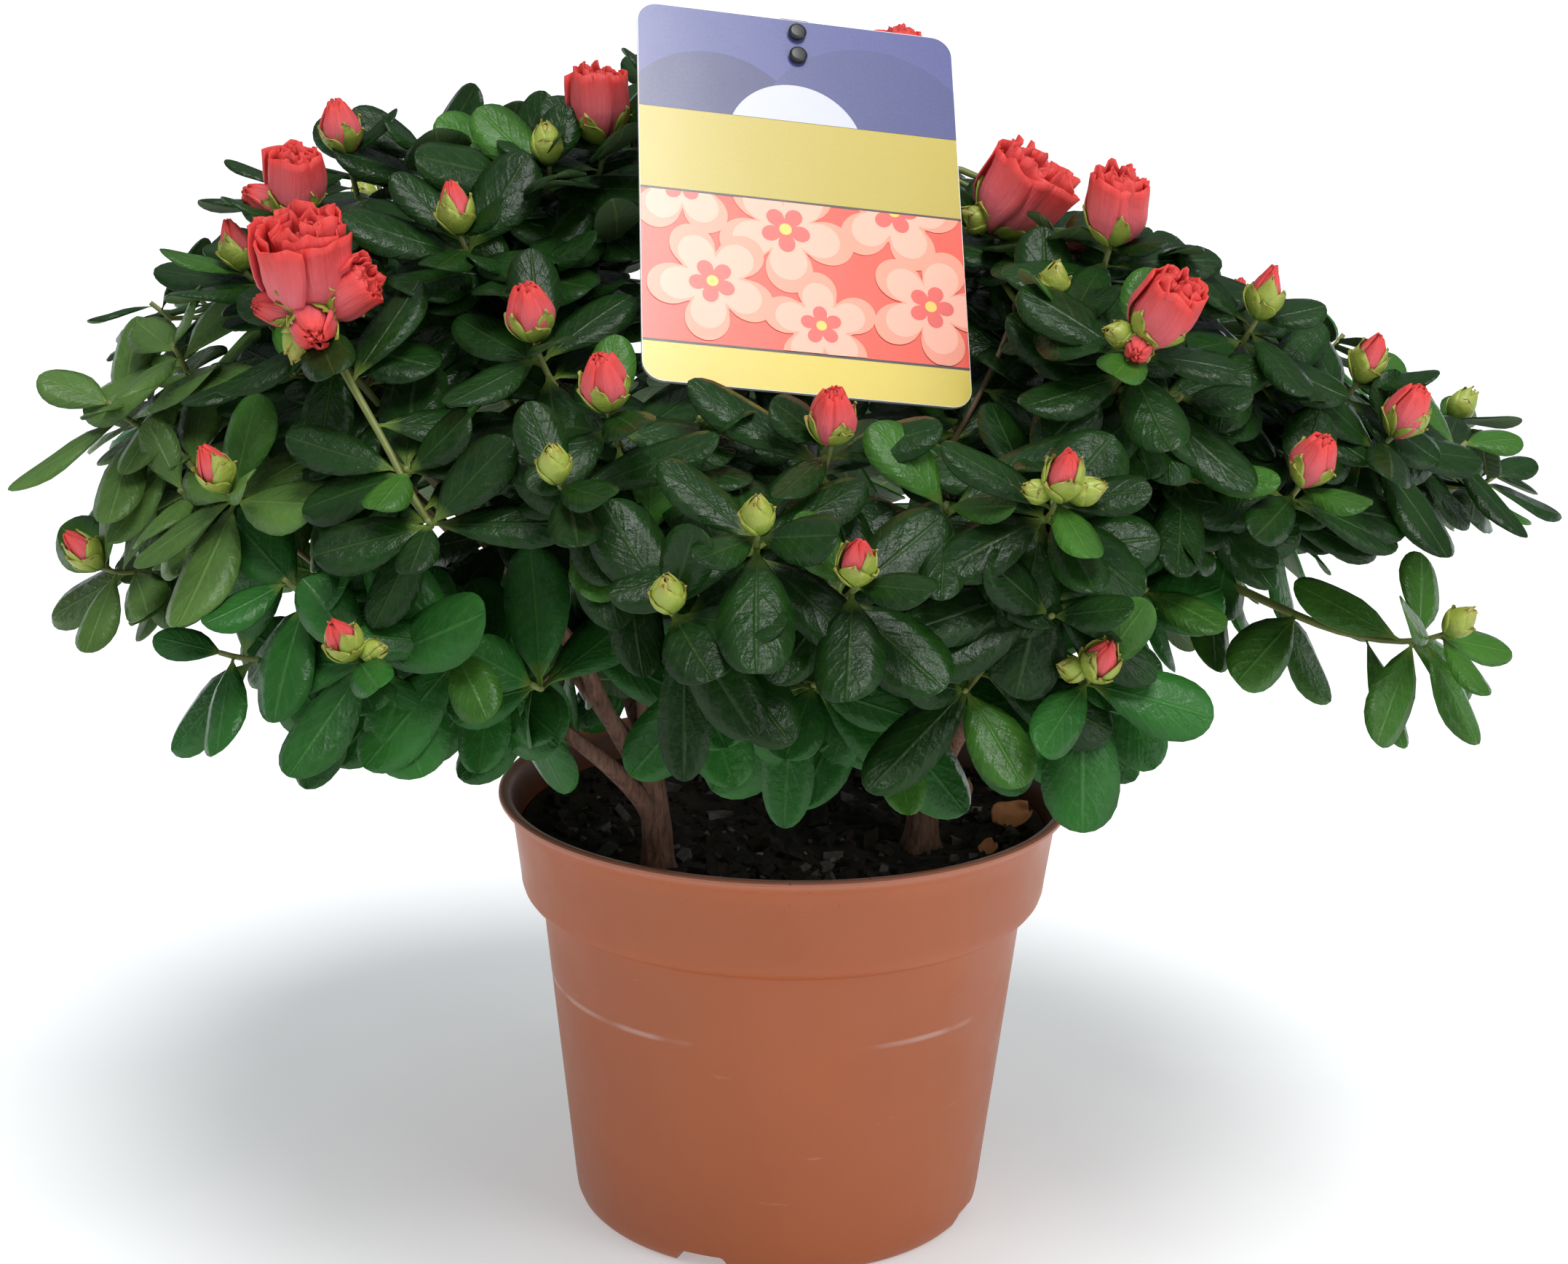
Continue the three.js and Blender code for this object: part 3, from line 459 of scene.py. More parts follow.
def new_material(name, color, roughness, **sockets):
    """A material and its node tree. Its shader's own sockets hold what is the same all over."""
    made = bpy.data.materials.new(name)
    made.use_nodes = True
    shader = made.node_tree.nodes["Principled BSDF"]
    shader.inputs["Base Color"].default_value = (*color, 1)
    shader.inputs["Roughness"].default_value = roughness
    for socket, value in sockets.items():
        shader.inputs[socket.replace("_", " ")].default_value = value
    return made, made.node_tree


def node(tree, kind, inputs=None, **settings):
    """A node with its settings, its inputs set to values or linked from sockets."""
    made = tree.nodes.new(kind)
    for name, value in settings.items():
        setattr(made, name, value)
    for socket, value in (inputs or {}).items():
        if isinstance(value, bpy.types.NodeSocket):
            tree.links.new(value, made.inputs[socket])
        else:
            made.inputs[socket].default_value = value
    return made


def place(tree, stretch=(1, 1, 1)):
    """Object coordinates, stretched along the axes."""
    here = node(tree, "ShaderNodeTexCoord").outputs["Object"]
    return node(tree, "ShaderNodeMapping", {"Vector": here, "Scale": stretch}).outputs[0]


def height_of(tree, here):
    """The Z part of a position."""
    return node(tree, "ShaderNodeSeparateXYZ", {0: here}).outputs[2]


def blade_map(tree):
    """Where a point lies across and along its own blade, petal or scale, each from 0 to 1."""
    blade = node(tree, "ShaderNodeUVMap", uv_map="blade")
    return node(tree, "ShaderNodeSeparateXYZ", {0: blade.outputs[0]}).outputs[:2]


def blotches(tree, vector, scale, detail=3, roughness=0.55):
    """Noise from 0 to 1 at so many blotches a metre."""
    return node(
        tree, "ShaderNodeTexNoise",
        {"Vector": vector, "Scale": scale, "Detail": detail, "Roughness": roughness},
    ).outputs[0]


def ramp(tree, value, low, high, low_to=0.0, high_to=1.0):
    """A value brought from one range to another, and held at its ends."""
    return node(
        tree, "ShaderNodeMapRange",
        {"Value": value, "From Min": low, "From Max": high, "To Min": low_to, "To Max": high_to},
        clamp=True,
    ).outputs[0]


def maths(tree, how, a, b=0.0):
    return node(tree, "ShaderNodeMath", {0: a, 1: b}, operation=how).outputs[0]


def times(tree, a, b):
    return maths(tree, "MULTIPLY", a, b)


def plus(tree, a, b):
    return maths(tree, "ADD", a, b)


def blend(tree, share, a, b):
    """Two colours mixed by a share."""
    a, b = (value if isinstance(value, bpy.types.NodeSocket) else (*value, 1) for value in (a, b))
    return node(tree, "ShaderNodeMix", {0: share, 6: a, 7: b}, data_type="RGBA").outputs[2]


def over(tree, tone, color, mask, strength):
    """A tone with a colour laid over it where the mask is, at a strength."""
    return blend(tree, times(tree, mask, strength), tone, color)


def skinned(made, tone, height, strength, distance, shine=None):
    """The material with its tone, a fine relief from a height and, where given, its own map of shine."""
    tree = made.node_tree
    shader = tree.nodes["Principled BSDF"]
    bump = node(tree, "ShaderNodeBump", {"Height": height, "Strength": strength, "Distance": distance})
    tree.links.new(tone, shader.inputs["Base Color"])
    tree.links.new(bump.outputs[0], shader.inputs["Normal"])
    if shine is not None:
        tree.links.new(shine, shader.inputs["Roughness"])
    return made


def tinted(color, share, towards=(1, 1, 1)):
    return tuple(mix(a, b, share) for a, b in zip(color, towards))


def shaded(color, factor):
    return tuple(channel * factor for channel in color)


def mottled(name, color, roughness, tones, scale, strength, distance):
    """A material mottled between two tones, with relief in step."""
    made, tree = new_material(name, color, roughness)
    mottle = blotches(tree, place(tree), scale)
    return skinned(made, blend(tree, mottle, *tones), mottle, strength, distance)


# Heights on the pot in metres: its long scratch, where the painted highlight on its lip starts, and the lip's
# top
SCRATCH_HEIGHT = 0.0605
LIP_HIGHLIGHT_FROM = 0.1035
LIP_TOP = 0.107


def pot_plastic(color):
    """Moulded terracotta-coloured plastic: satin, faintly mottled, scuffed, with peat crumbs at the lip, peat
    dust and painted shade on the inside wall, and a painted highlight on the lip.
    """
    made, tree = new_material("pot_plastic", color, 0.42)
    here = place(tree)
    height = height_of(tree, here)
    mottle = ramp(tree, blotches(tree, here, 28, 4), 0.3, 0.7)
    tone = blend(tree, mottle, shaded(color, 0.95), shaded(color, 1.06))
    scuffs = ramp(tree, blotches(tree, place(tree, (70, 70, 420)), 1, 5, 0.7), 0.66, 0.8)
    tone = over(tree, tone, tinted(color, 0.4), scuffs, 0.3)
    off_scratch = maths(tree, "ABSOLUTE", maths(tree, "SUBTRACT", height, SCRATCH_HEIGHT))
    line = ramp(tree, off_scratch, 0.0003, 0.0009, 1, 0)
    broken = ramp(tree, blotches(tree, place(tree, (40, 40, 40)), 1, 2), 0.48, 0.62)
    tone = over(tree, tone, tinted(color, 0.45), times(tree, line, broken), 0.35)
    # Painted highlight: the lip pales towards its top
    tone = over(tree, tone, tinted(color, 0.5, (1, 0.75, 0.7)), ramp(tree, height, LIP_HIGHLIGHT_FROM, LIP_TOP), 0.22)
    # Peat dust and painted shade: the inside wall darkens, most of all below the lip's top
    flat = place(tree, (1, 1, 0))
    radius = node(tree, "ShaderNodeVectorMath", {0: flat}, operation="LENGTH").outputs["Value"]
    inside = ramp(tree, maths(tree, "SUBTRACT", radius, times(tree, height, 0.35)), 0.0301, 0.0307, 0.75, 0)
    tone = over(tree, tone, (0.045, 0.02, 0.012), inside, ramp(tree, height, 0.104, LIP_TOP, 1, 0.3))
    crumbs = ramp(tree, blotches(tree, here, 900, 2), 0.7, 0.74)
    tone = over(tree, tone, (0.06, 0.03, 0.02), crumbs, ramp(tree, height, 0.095, 0.106))
    shine = ramp(tree, blotches(tree, here, 60, 4), 0.3, 0.75, 0.36, 0.52)
    return skinned(made, tone, blotches(tree, here, 1400, 2), 0.12, 0.0002, shine)


def peat(color):
    """Moist peat: near black with brown fibres and a few pale specks."""
    made, tree = new_material("peat", color, 0.9)
    here = place(tree)
    brown = ramp(tree, blotches(tree, here, 210, 6, 0.65), 0.42, 0.72)
    tone = blend(tree, brown, shaded(color, 0.6), tinted(shaded(color, 2.4), 0.5, (0.05, 0.026, 0.014)))
    specks = ramp(tree, blotches(tree, here, 760, 2), 0.71, 0.76)
    tone = over(tree, tone, (0.16, 0.11, 0.07), specks, 0.5)
    return skinned(made, tone, blotches(tree, here, 520, 6, 0.7), 0.9, 0.0012)


def plain_scrap(name, color, roughness):
    """A small dead bit on the peat."""
    return mottled(name, color, roughness, (shaded(color, 0.6), tinted(color, 0.12)), 420, 0.4, 0.0005)


def shoot_skin(name, color):
    """Smooth skin of a young shoot, faintly streaked."""
    return mottled(name, color, 0.5, (shaded(color, 0.7), shaded(color, 1.3)), 260, 0.3, 0.0003)


def black_plastic():
    """Moulded black plastic of the stake and its studs."""
    tones = ((0.008, 0.008, 0.009), (0.018, 0.018, 0.02))
    return mottled("stake_plastic", (0.011, 0.011, 0.012), 0.38, tones, 300, 0.2, 0.0003)


def bark(name, color, young, green_from=None):
    """Fibrous bark. Where green_from gives a height, it turns to green wood from there up."""
    made, tree = new_material(name, color, 0.8)
    here = place(tree)
    fibres = ramp(tree, blotches(tree, place(tree, (900, 900, 160)), 1, 4, 0.65), 0.35, 0.7)
    pale = tinted(shaded(color, 1.5), 0.1, (0.5, 0.36, 0.25))
    tone = blend(tree, fibres, shaded(color, 0.5), pale)
    patches = ramp(tree, blotches(tree, here, 120), 0.5, 0.68)
    tone = over(tree, tone, (0.20, 0.12, 0.08), patches, 0.35)
    if green_from is not None:
        uneven = plus(tree, height_of(tree, here), times(tree, blotches(tree, here, 90, 2), 0.012))
        skin = blend(tree, fibres, shaded(young, 0.7), shaded(young, 1.25))
        tone = blend(tree, ramp(tree, uneven, green_from, green_from + 0.03), tone, skin)
    return skinned(made, tone, fibres, 0.7, 0.0006)


def veins(tree, count, lean):
    """Masks of the midrib and the side veins from the blade's own map, and the way along the blade."""
    across, along = blade_map(tree)
    side = times(tree, maths(tree, "ABSOLUTE", maths(tree, "SUBTRACT", across, 0.5)), 2)
    midrib = ramp(tree, side, 0.015, 0.085, 1, 0)
    phase = maths(tree, "SUBTRACT", along, times(tree, side, lean))
    wave = maths(tree, "PINGPONG", times(tree, phase, count), 0.5)
    return midrib, ramp(tree, wave, 0.0, 0.2, 1, 0), along


def leafwise(tree, here, color, dark, light):
    """A leaf colour that differs a little from one leaf to the next."""
    share = ramp(tree, blotches(tree, here, 46, 1), 0.32, 0.68)
    return blend(tree, share, shaded(color, dark), shaded(color, light))


def leaf_skin(name, color):
    """Leathery upper side of a leaf: fine pale midrib, faint side veins, crinkled and unevenly waxy."""
    gloss = 0.28
    made, tree = new_material(name, color, gloss, Specular_IOR_Level=0.19)
    here = place(tree)
    midrib, side_veins, along = veins(tree, 6, 0.4)
    tone = leafwise(tree, here, color, 0.7, 1.35)
    mottle = ramp(tree, blotches(tree, here, 330), 0.35, 0.7)
    tone = over(tree, tone, tinted(shaded(color, 1.2), 0.04, (0.5, 0.5, 0.3)), mottle, 0.25)
    pale = tinted(shaded(color, 2.0), 0.07, (0.5, 0.62, 0.25))
    tone = over(tree, tone, pale, midrib, 0.34)
    tone = over(tree, tone, pale, side_veins, 0.06)
    stalk = ramp(tree, along, 0.06, 0.2, 0.8, 0)
    tone = blend(tree, stalk, tone, (0.13, 0.2, 0.03))
    shine = ramp(tree, blotches(tree, here, 240, 4, 0.65), 0.35, 0.72, gloss - 0.06, gloss + 0.16)
    sunk = plus(tree, times(tree, midrib, -0.8), times(tree, side_veins, -0.18))
    grain = times(tree, blotches(tree, here, 430, 4, 0.6), 1.5)
    return skinned(made, tone, plus(tree, sunk, grain), 0.5, 0.0006, shine)


def leaf_back(name, color):
    """Matte lower side of a leaf with its veins standing out."""
    made, tree = new_material(name, color, 0.62, Specular_IOR_Level=0.3)
    midrib, side_veins, _ = veins(tree, 8, 0.28)
    tone = leafwise(tree, place(tree), color, 0.8, 1.15)
    tone = over(tree, tone, (0.24, 0.32, 0.09), midrib, 0.6)
    return skinned(made, tone, plus(tree, midrib, times(tree, side_veins, 0.4)), 0.5, 0.0004)


def petal_skin(base, tips):
    """Crumpled petals: pink where they leave the bud, coral red towards their margins."""
    made, tree = new_material("petal_skin", tips, 0.55, Subsurface_Weight=0.12, Subsurface_Scale=0.002)
    here = place(tree)
    across, along = blade_map(tree)
    uneven = plus(tree, along, times(tree, blotches(tree, here, 160, 2), 0.3))
    tone = blend(tree, ramp(tree, uneven, 0.5, 1.12), base, tips)
    rays = node(tree, "ShaderNodeCombineXYZ", {0: times(tree, across, 26), 1: along}).outputs[0]
    streaks = blotches(tree, rays, 1)
    tone = over(tree, tone, shaded(tips, 0.72), ramp(tree, streaks, 0.45, 0.75), 0.28)
    tone = over(tree, tone, shaded(tips, 0.8), ramp(tree, along, 0.9, 1), 0.3)
    crumple = plus(tree, streaks, times(tree, blotches(tree, here, 520), 0.6))
    return skinned(made, tone, crumple, 0.5, 0.0006)


def bud_skin(color):
    """Yellow-green bud scales, greener at the base and browner towards their tips."""
    made, tree = new_material("bud_skin", color, 0.42)
    _, along = blade_map(tree)
    tone = blend(tree, ramp(tree, along, 0.05, 0.6), (0.12, 0.22, 0.03), color)
    tone = over(tree, tone, (0.36, 0.20, 0.06), ramp(tree, along, 0.72, 1), 0.5)
    mottle = ramp(tree, blotches(tree, place(tree), 420), 0.35, 0.7)
    tone = over(tree, tone, shaded(color, 1.25), mottle, 0.35)
    return skinned(made, tone, mottle, 0.35, 0.0004)


def print_ink(name, color, gloss=0.24):
    """Laminated print: an even ink under a glossy film with a trace of waviness."""
    made, tree = new_material(name, color, gloss, Coat_Weight=0.35, Coat_Roughness=0.12)
    here = place(tree)
    tone = blend(tree, blotches(tree, here, 1900, 2), shaded(color, 0.96), tinted(color, 0.03))
    return skinned(made, tone, blotches(tree, here, 42, 2), 0.08, 0.001)


def floor_paint(color):
    """Plain matte floor that glows faintly, so that it stays as pale as the backdrop."""
    made, tree = new_material(
        "floor_paint", color, 0.9, Specular_IOR_Level=0.1,
        Emission_Color=(0.95, 0.98, 1, 1), Emission_Strength=0.34,
    )
    tone = blend(tree, blotches(tree, place(tree), 3, 2), shaded(color, 0.995), color)
    tree.links.new(tone, tree.nodes["Principled BSDF"].inputs["Base Color"])
    return made


# Pieces


def select_only(piece):
    bpy.ops.object.select_all(action="DESELECT")
    piece.select_set(True)
    bpy.context.view_layer.objects.active = piece


def finish_piece(piece, material, slot, nodes):
    """Gives a piece its finish, and says what it rides on and what it stands for. Its slot is not used."""
    piece.data.materials.clear()
    piece.data.materials.append(material)
    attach(piece, "root")
    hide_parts(*nodes)
    return piece


def array_piece(name, points, quads, mapping=None, smooth=True):
    """One joined mesh from points, four-sided faces and, for patterns that follow a blade, a map."""
    mesh = bpy.data.meshes.new(name)
    count = len(quads)
    mesh.vertices.add(len(points))
    mesh.vertices.foreach_set("co", np.asarray(points, np.float32).ravel())
    mesh.loops.add(count * 4)
    mesh.loops.foreach_set("vertex_index", np.asarray(quads, np.int32).ravel())
    mesh.polygons.add(count)
    mesh.polygons.foreach_set("loop_start", np.arange(0, count * 4, 4, dtype=np.int32))
    mesh.update(calc_edges=True)
    mesh.polygons.foreach_set("use_smooth", np.full(count, smooth))
    if mapping is not None:
        layer = mesh.uv_layers.new(name="blade")
        layer.data.foreach_set("uv", np.asarray(mapping, np.float32)[np.asarray(quads).ravel()].ravel())
    mesh.validate()
    piece = bpy.data.objects.new(name, mesh)
    bpy.context.scene.collection.objects.link(piece)
    return piece


def joined(parts):
    """Several (points, quads, mapping) made one."""
    points, quads, mapping = [], [], []
    start = 0
    for part_points, part_quads, part_mapping in parts:
        points.append(part_points)
        quads.append(part_quads + start)
        mapping.append(part_mapping)
        start += len(part_points)
    return np.concatenate(points), np.concatenate(quads), np.concatenate(mapping)


def grid_quads(rows, columns, closed=False):
    """Faces between neighbouring rows and columns of points, which close round if asked."""
    across = columns if closed else columns - 1
    row = np.repeat(np.arange(rows - 1), across)
    column = np.tile(np.arange(across), rows - 1)
    right = (column + 1) % columns
    low, high = row * columns, (row + 1) * columns
    return np.stack([low + column, low + right, high + right, high + column], 1)


def grid_map(rows, columns):
    """The map of a grid of points, from 0 to 1 across it and along it."""
    v, u = np.meshgrid(np.linspace(0, 1, rows), np.linspace(0, 1, columns), indexing="ij")
    return np.stack([u.ravel(), v.ravel()], 1)


def settle():
    """Takes the active piece's place, turn and scale into its points."""
    bpy.ops.object.transform_apply(location=True, rotation=True, scale=True)


def modified(piece, kind, **settings):
    """Adds a modifier to a piece and applies it."""
    select_only(piece)
    bpy.ops.object.modifier_add(type=kind)
    modifier = piece.modifiers[-1]
    for name, value in settings.items():
        setattr(modifier, name, value)
    bpy.ops.object.modifier_apply(modifier=modifier.name)


def turned_piece(name, profile, sides):
    """A closed shell about Z, drawn out ring by ring from a circle along a profile of (radius, height)."""
    radius, height = profile[0]
    bpy.ops.object.select_all(action="DESELECT")
    bpy.ops.mesh.primitive_circle_add(vertices=sides, radius=radius, location=(0, 0, height))
    piece = bpy.context.object
    piece.name = name
    settle()
    bpy.ops.object.mode_set(mode="EDIT")
    bpy.ops.mesh.select_all(action="SELECT")
    for next_radius, next_height in profile[1:]:
        bpy.ops.mesh.extrude_region_move(TRANSFORM_OT_translate={"value": (0, 0, next_height - height)})
        share = next_radius / radius
        bpy.ops.transform.resize(value=(share, share, 1), center_override=(0, 0, next_height))
        radius, height = next_radius, next_height
    bpy.ops.mesh.edge_face_add()
    bpy.ops.mesh.select_all(action="DESELECT")
    bpy.ops.mesh.select_non_manifold(extend=False, use_boundary=True)
    bpy.ops.mesh.edge_face_add()
    bpy.ops.mesh.select_all(action="SELECT")
    bpy.ops.mesh.normals_make_consistent(inside=False)
    bpy.ops.object.mode_set(mode="OBJECT")
    return piece


def cut_away(piece, cutter):
    """Cuts a piece with another one, which goes."""
    modified(piece, "BOOLEAN", operation="DIFFERENCE", solver="EXACT", object=cutter)
    bpy.data.objects.remove(cutter, do_unlink=True)


def pot_foot_notch(turn):
    """A wedge that cuts one drainage notch in the pot's foot."""
    bpy.ops.object.select_all(action="DESELECT")
    bpy.ops.mesh.primitive_cube_add(size=1, location=(0, 0, 0))
    cutter = bpy.context.object
    for corner in cutter.data.vertices:
        low = corner.co.z < 0
        half = NOTCH["width"] / 2 + (NOTCH["flare"] if low else 0)
        corner.co = (
            NOTCH["out"] + math.copysign(NOTCH["depth"] / 2, corner.co.x),
            math.copysign(half, corner.co.y),
            -MM if low else NOTCH["height"],
        )
    cutter.rotation_euler = (0, 0, turn)
    settle()
    modified(cutter, "BEVEL", width=0.0009, segments=3)
    return cutter


class AZALEA_OT_pot(bpy.types.Operator):
    """Turn the nursery pot with its collar and lip, and cut its drainage holes and foot notches"""

    bl_idname = "azalea.pot"
    bl_label = "Build Pot"

    def execute(self, context):
        settings = context.scene.azalea_pot
        wide = settings.lip_radius / POT_SIZE[0]
        tall = settings.height / POT_SIZE[1]
        profile = [(radius * wide, height * tall) for radius, height in POT_UNDER + POT_OUTSIDE + POT_INSIDE]
        pot = turned_piece("pot_shell", profile, settings.sides)
        for i in range(HOLES):
            turn = math.radians(360 / HOLES * i)
            bpy.ops.object.select_all(action="DESELECT")
            bpy.ops.mesh.primitive_cylinder_add(
                vertices=32, radius=HOLE_RADIUS, depth=0.02,
                location=(HOLE_RING * math.cos(turn), HOLE_RING * math.sin(turn), 0.003),
            )
            cut_away(pot, bpy.context.object)
        for i in range(NOTCHES):
            cut_away(pot, pot_foot_notch(math.radians(FIRST_NOTCH + 360 / NOTCHES * i)))
        select_only(pot)
        bpy.ops.object.shade_smooth_by_angle(angle=math.radians(34))
        finish_piece(pot, pot_plastic(settings.color), "pot", ["pot"])
        return {"FINISHED"}


# Peat, in metres: wall of the pot round it, radius and rings of its top, and how far out its crumbs lie
PEAT_WALL = 0.0021
PEAT_RIM = 0.0638
PEAT_RINGS = 34
CRUMB_REACH = 0.0605
# Lumps of the peat: size in metres, strength
PEAT_LUMPS = ((0.016, 1.0), (0.0055, 0.9), (0.0022, 0.5))
# Scraps of dead leaf on the peat, in metres and degrees: x, y, size, turn
DEAD_LEAVES = (
    (0.0560, -0.0002, 0.0058, 20), (0.044, 0.018, 0.0045, 70), (-0.01, -0.05, 0.0026, 130),
    (0.049, -0.021, 0.003, 50),
)


# Corners of a cube's six faces, where the corners run through z, then y, then x
CUBE_FACES = ((4, 6, 7, 5), (1, 3, 2, 0), (2, 3, 7, 6), (4, 5, 1, 0), (1, 5, 7, 3), (2, 6, 4, 0))


def soil_surface(settings):
    """Peat body with a lumpy top."""
    level = SOIL_LEVEL * MM
    body = [
        (0.003, 0.0049), (0.0476, 0.0049), (0.0488, 0.006), (0.0592 - PEAT_WALL, 0.0825),
        (0.0646 - PEAT_WALL, 0.0875),
    ]
    top = [(PEAT_RIM * (1 - i / PEAT_RINGS) ** 0.9 + 0.0002, level) for i in range(PEAT_RINGS)]
    soil = turned_piece("peat_surface", body + top, 120)
    upper = soil.vertex_groups.new(name="upper")
    for vertex in soil.data.vertices:
        if vertex.co.z > level - 0.0001:
            inwards = (PEAT_RIM - math.hypot(vertex.co.x, vertex.co.y)) / 0.006
            upper.add([vertex.index], min(1.0, max(0.0, inwards)), "REPLACE")
    for size, strength in PEAT_LUMPS:
        texture = bpy.data.textures.new("peat_lumps", "CLOUDS")
        texture.noise_scale = size
        texture.noise_depth = 2
        modified(
            soil, "DISPLACE", texture=texture, texture_coords="LOCAL", direction="Z", mid_level=0.55,
            strength=settings.lump * strength, vertex_group="upper",
        )
    bpy.ops.object.shade_smooth_by_angle(angle=math.radians(50))
    return soil


def soil_height(soil):
    """A function that gives the height of the peat under a point."""

    def at(x, y):
        hit, point, _, _ = soil.ray_cast(Vector((x, y, 0.13)), -UP)
        return point.z if hit else SOIL_LEVEL * MM

    return at


def lumps(count, draw, height_at, sizes, flat, around=None):
    """Angular crumbs scattered on the peat: the corners of a cube, drawn in and out at random.

    They lie all over it, or around a place given as x, y, nearest and farthest.
    """
    corners = np.array([(x, y, z) for x in (-1, 1) for y in (-1, 1) for z in (-1, 1)], float)
    shape = corners / math.sqrt(3)
    parts = []
    for _ in range(count):
        size = mix(*sizes, draw() ** 2.2)
        if around is None:
            radius, turn = CRUMB_REACH * math.sqrt(draw()), 2 * math.pi * draw()
            x, y = radius * math.cos(turn), radius * math.sin(turn)
        else:
            turn = 2 * math.pi * draw()
            radius = mix(around[2], around[3], draw())
            x, y = around[0] + radius * math.cos(turn), around[1] + radius * math.sin(turn)
        swell = np.array([[0.6 + 0.8 * draw() for _ in range(3)] for _ in range(8)])
        stretch = np.array([0.7 + 0.9 * draw(), 0.6 + 0.5 * draw(), flat])
        half_turn = math.pi * draw()
        spin = np.array(Matrix.Rotation(half_turn, 3, Vector((draw() - 0.5, draw() - 0.5, 1)).normalized()))
        points = (shape * swell * stretch * size) @ spin.T + np.array([x, y, height_at(x, y) + 0.2 * size])
        parts.append((points, np.array(CUBE_FACES), np.zeros((8, 2))))
    return joined(parts)


class AZALEA_OT_soil(bpy.types.Operator):
    """Fill the pot with lumpy peat and scatter crumbs, grit and dead bits on it"""

    bl_idname = "azalea.soil"
    bl_label = "Build Soil"

    def execute(self, context):
        settings = context.scene.azalea_soil
        soil = soil_surface(settings)
        bpy.context.view_layer.update()
        height_at = soil_height(soil)
        draw = seeded(7)
        dark = peat(settings.color)
        fibre = plain_scrap("fibre", (0.036, 0.019, 0.011), 0.9)
        grit = plain_scrap("grit", (0.24, 0.20, 0.15), 0.8)
        moss = plain_scrap("moss", (0.10, 0.13, 0.04), 0.9)
        finish_piece(soil, dark, "soil", ["soil"])
        scatter = [
            ("peat_crumbs", settings.crumbs, (0.0007, 0.0034), 0.75, None, dark),
            ("peat_fibres", 130, (0.0008, 0.0034), 0.6, None, fibre),
            ("peat_grit", 26, (0.0005, 0.0013), 0.8, None, grit),
            ("moss_crumbs", 16, (0.0006, 0.0014), 0.7, (-0.031, -0.046, 0.001, 0.005), moss),
        ]
        for name, count, sizes, flat, around, material in scatter:
            points, quads, _ = lumps(count, draw, height_at, sizes, flat, around)
            finish_piece(array_piece(name, points, quads, smooth=False), material, "soil", ["soil"])
        flakes = [dead_flake(x, y, height_at(x, y), size, turn, draw) for x, y, size, turn in DEAD_LEAVES]
        amber = plain_scrap("dead_leaf", (0.60, 0.19, 0.018), 0.6)
        finish_piece(array_piece("dead_leaf_bits", *joined(flakes)), amber, "soil", ["soil"])
        return {"FINISHED"}


def dead_flake(x, y, z, size, turn, draw):
    """A curled scrap of an orange dead leaf lying on the peat."""
    rows, columns = 9, 9
    v, u = np.meshgrid(np.linspace(-1, 1, rows), np.linspace(-1, 1, columns), indexing="ij")
    outline = np.sqrt(np.clip(1.15 - v**2, 0.04, 1))
    grid = np.stack([v * size * 0.85, u * outline * size * 0.72, size * 0.3 * (u**2 + 0.6 * v**2)], -1)
    grid[..., 2] += size * 0.10 * np.sin(3 * v + 2 * u + 6 * draw())
    points, quads, mapping = shell(grid, 0.0004)
    spin = np.array(Matrix.Rotation(0.55, 3, "X") @ Matrix.Rotation(math.radians(turn), 3, "Z"))
    return points @ spin.T + np.array([x, y, z + 0.3 * size]), quads, mapping


def shell(grid, thick):
    """A closed thin sheet behind a grid of points, with its map."""
    rows, columns = grid.shape[:2]
    along = np.gradient(grid, axis=0)
    across = np.gradient(grid, axis=1)
    normal = np.cross(across, along)
    normal /= np.linalg.norm(normal, axis=-1, keepdims=True) + 1e-12
    back = grid - normal * thick
    points = np.concatenate([grid.reshape(-1, 3), back.reshape(-1, 3)])
    front = grid_quads(rows, columns)
    count = rows * columns
    rear = front[:, ::-1] + count
    index = np.arange(count).reshape(rows, columns)
    edge = np.concatenate([index[0, :], index[1:, -1], index[-1, -2::-1], index[-2:0:-1, 0]])
    following = np.roll(edge, -1)
    rim = np.stack([following, edge, edge + count, following + count], 1)
    mapping = grid_map(rows, columns)
    return points, np.concatenate([front, rear, rim]), np.concatenate([mapping, mapping])


# Growth rule of the crown, as in the solids


def crown_point(turn, rise, reach):
    """A point of the crown's outline, where reach 1 is the outline itself."""
    t, r = math.radians(turn), math.radians(rise)
    tall = CROWN["dome_height"] if rise > 0 else CROWN["bowl_depth"]
    return MM * Vector((
        reach * CROWN["half_width"] * math.cos(r) * math.cos(t),
        reach * CROWN["half_depth"] * math.cos(r) * math.sin(t),
        CROWN["level"] + reach * tall * math.sin(r),
    ))


def growth_at(point):
    """The direction in which a shoot grows there: out of the crown and up."""
    above = point.z - CROWN["level"] * MM
    tall = CROWN["dome_height"] if above > 0 else CROWN["bowl_depth"] * 2
    wide, deep = CROWN["half_width"], CROWN["half_depth"]
    out = Vector((point.x / wide**2, point.y / deep**2, above / tall**2)).normalized()
    return (out + 0.5 * UP).normalized()


def outline_share(point):
    """How far out a point lies, where 1 is the crown's outline."""
    above = point.z - CROWN["level"] * MM
    tall = CROWN["dome_height"] if above > 0 else CROWN["bowl_depth"]
    return math.hypot(point.x / CROWN["half_width"], point.y / CROWN["half_depth"], above / tall) / MM


def bend(start, leaving, end, arriving, count):
    """Points along a bend from one point and direction to another."""
    reach = (end - start).length * 0.33
    a, b = start + leaving * reach, end - arriving * reach
    points = []
    for i in range(count):
        t = i / (count - 1)
        points.append((1 - t) ** 3 * start + 3 * t * (1 - t) ** 2 * a + 3 * t * t * (1 - t) * b + t**3 * end)
    return points


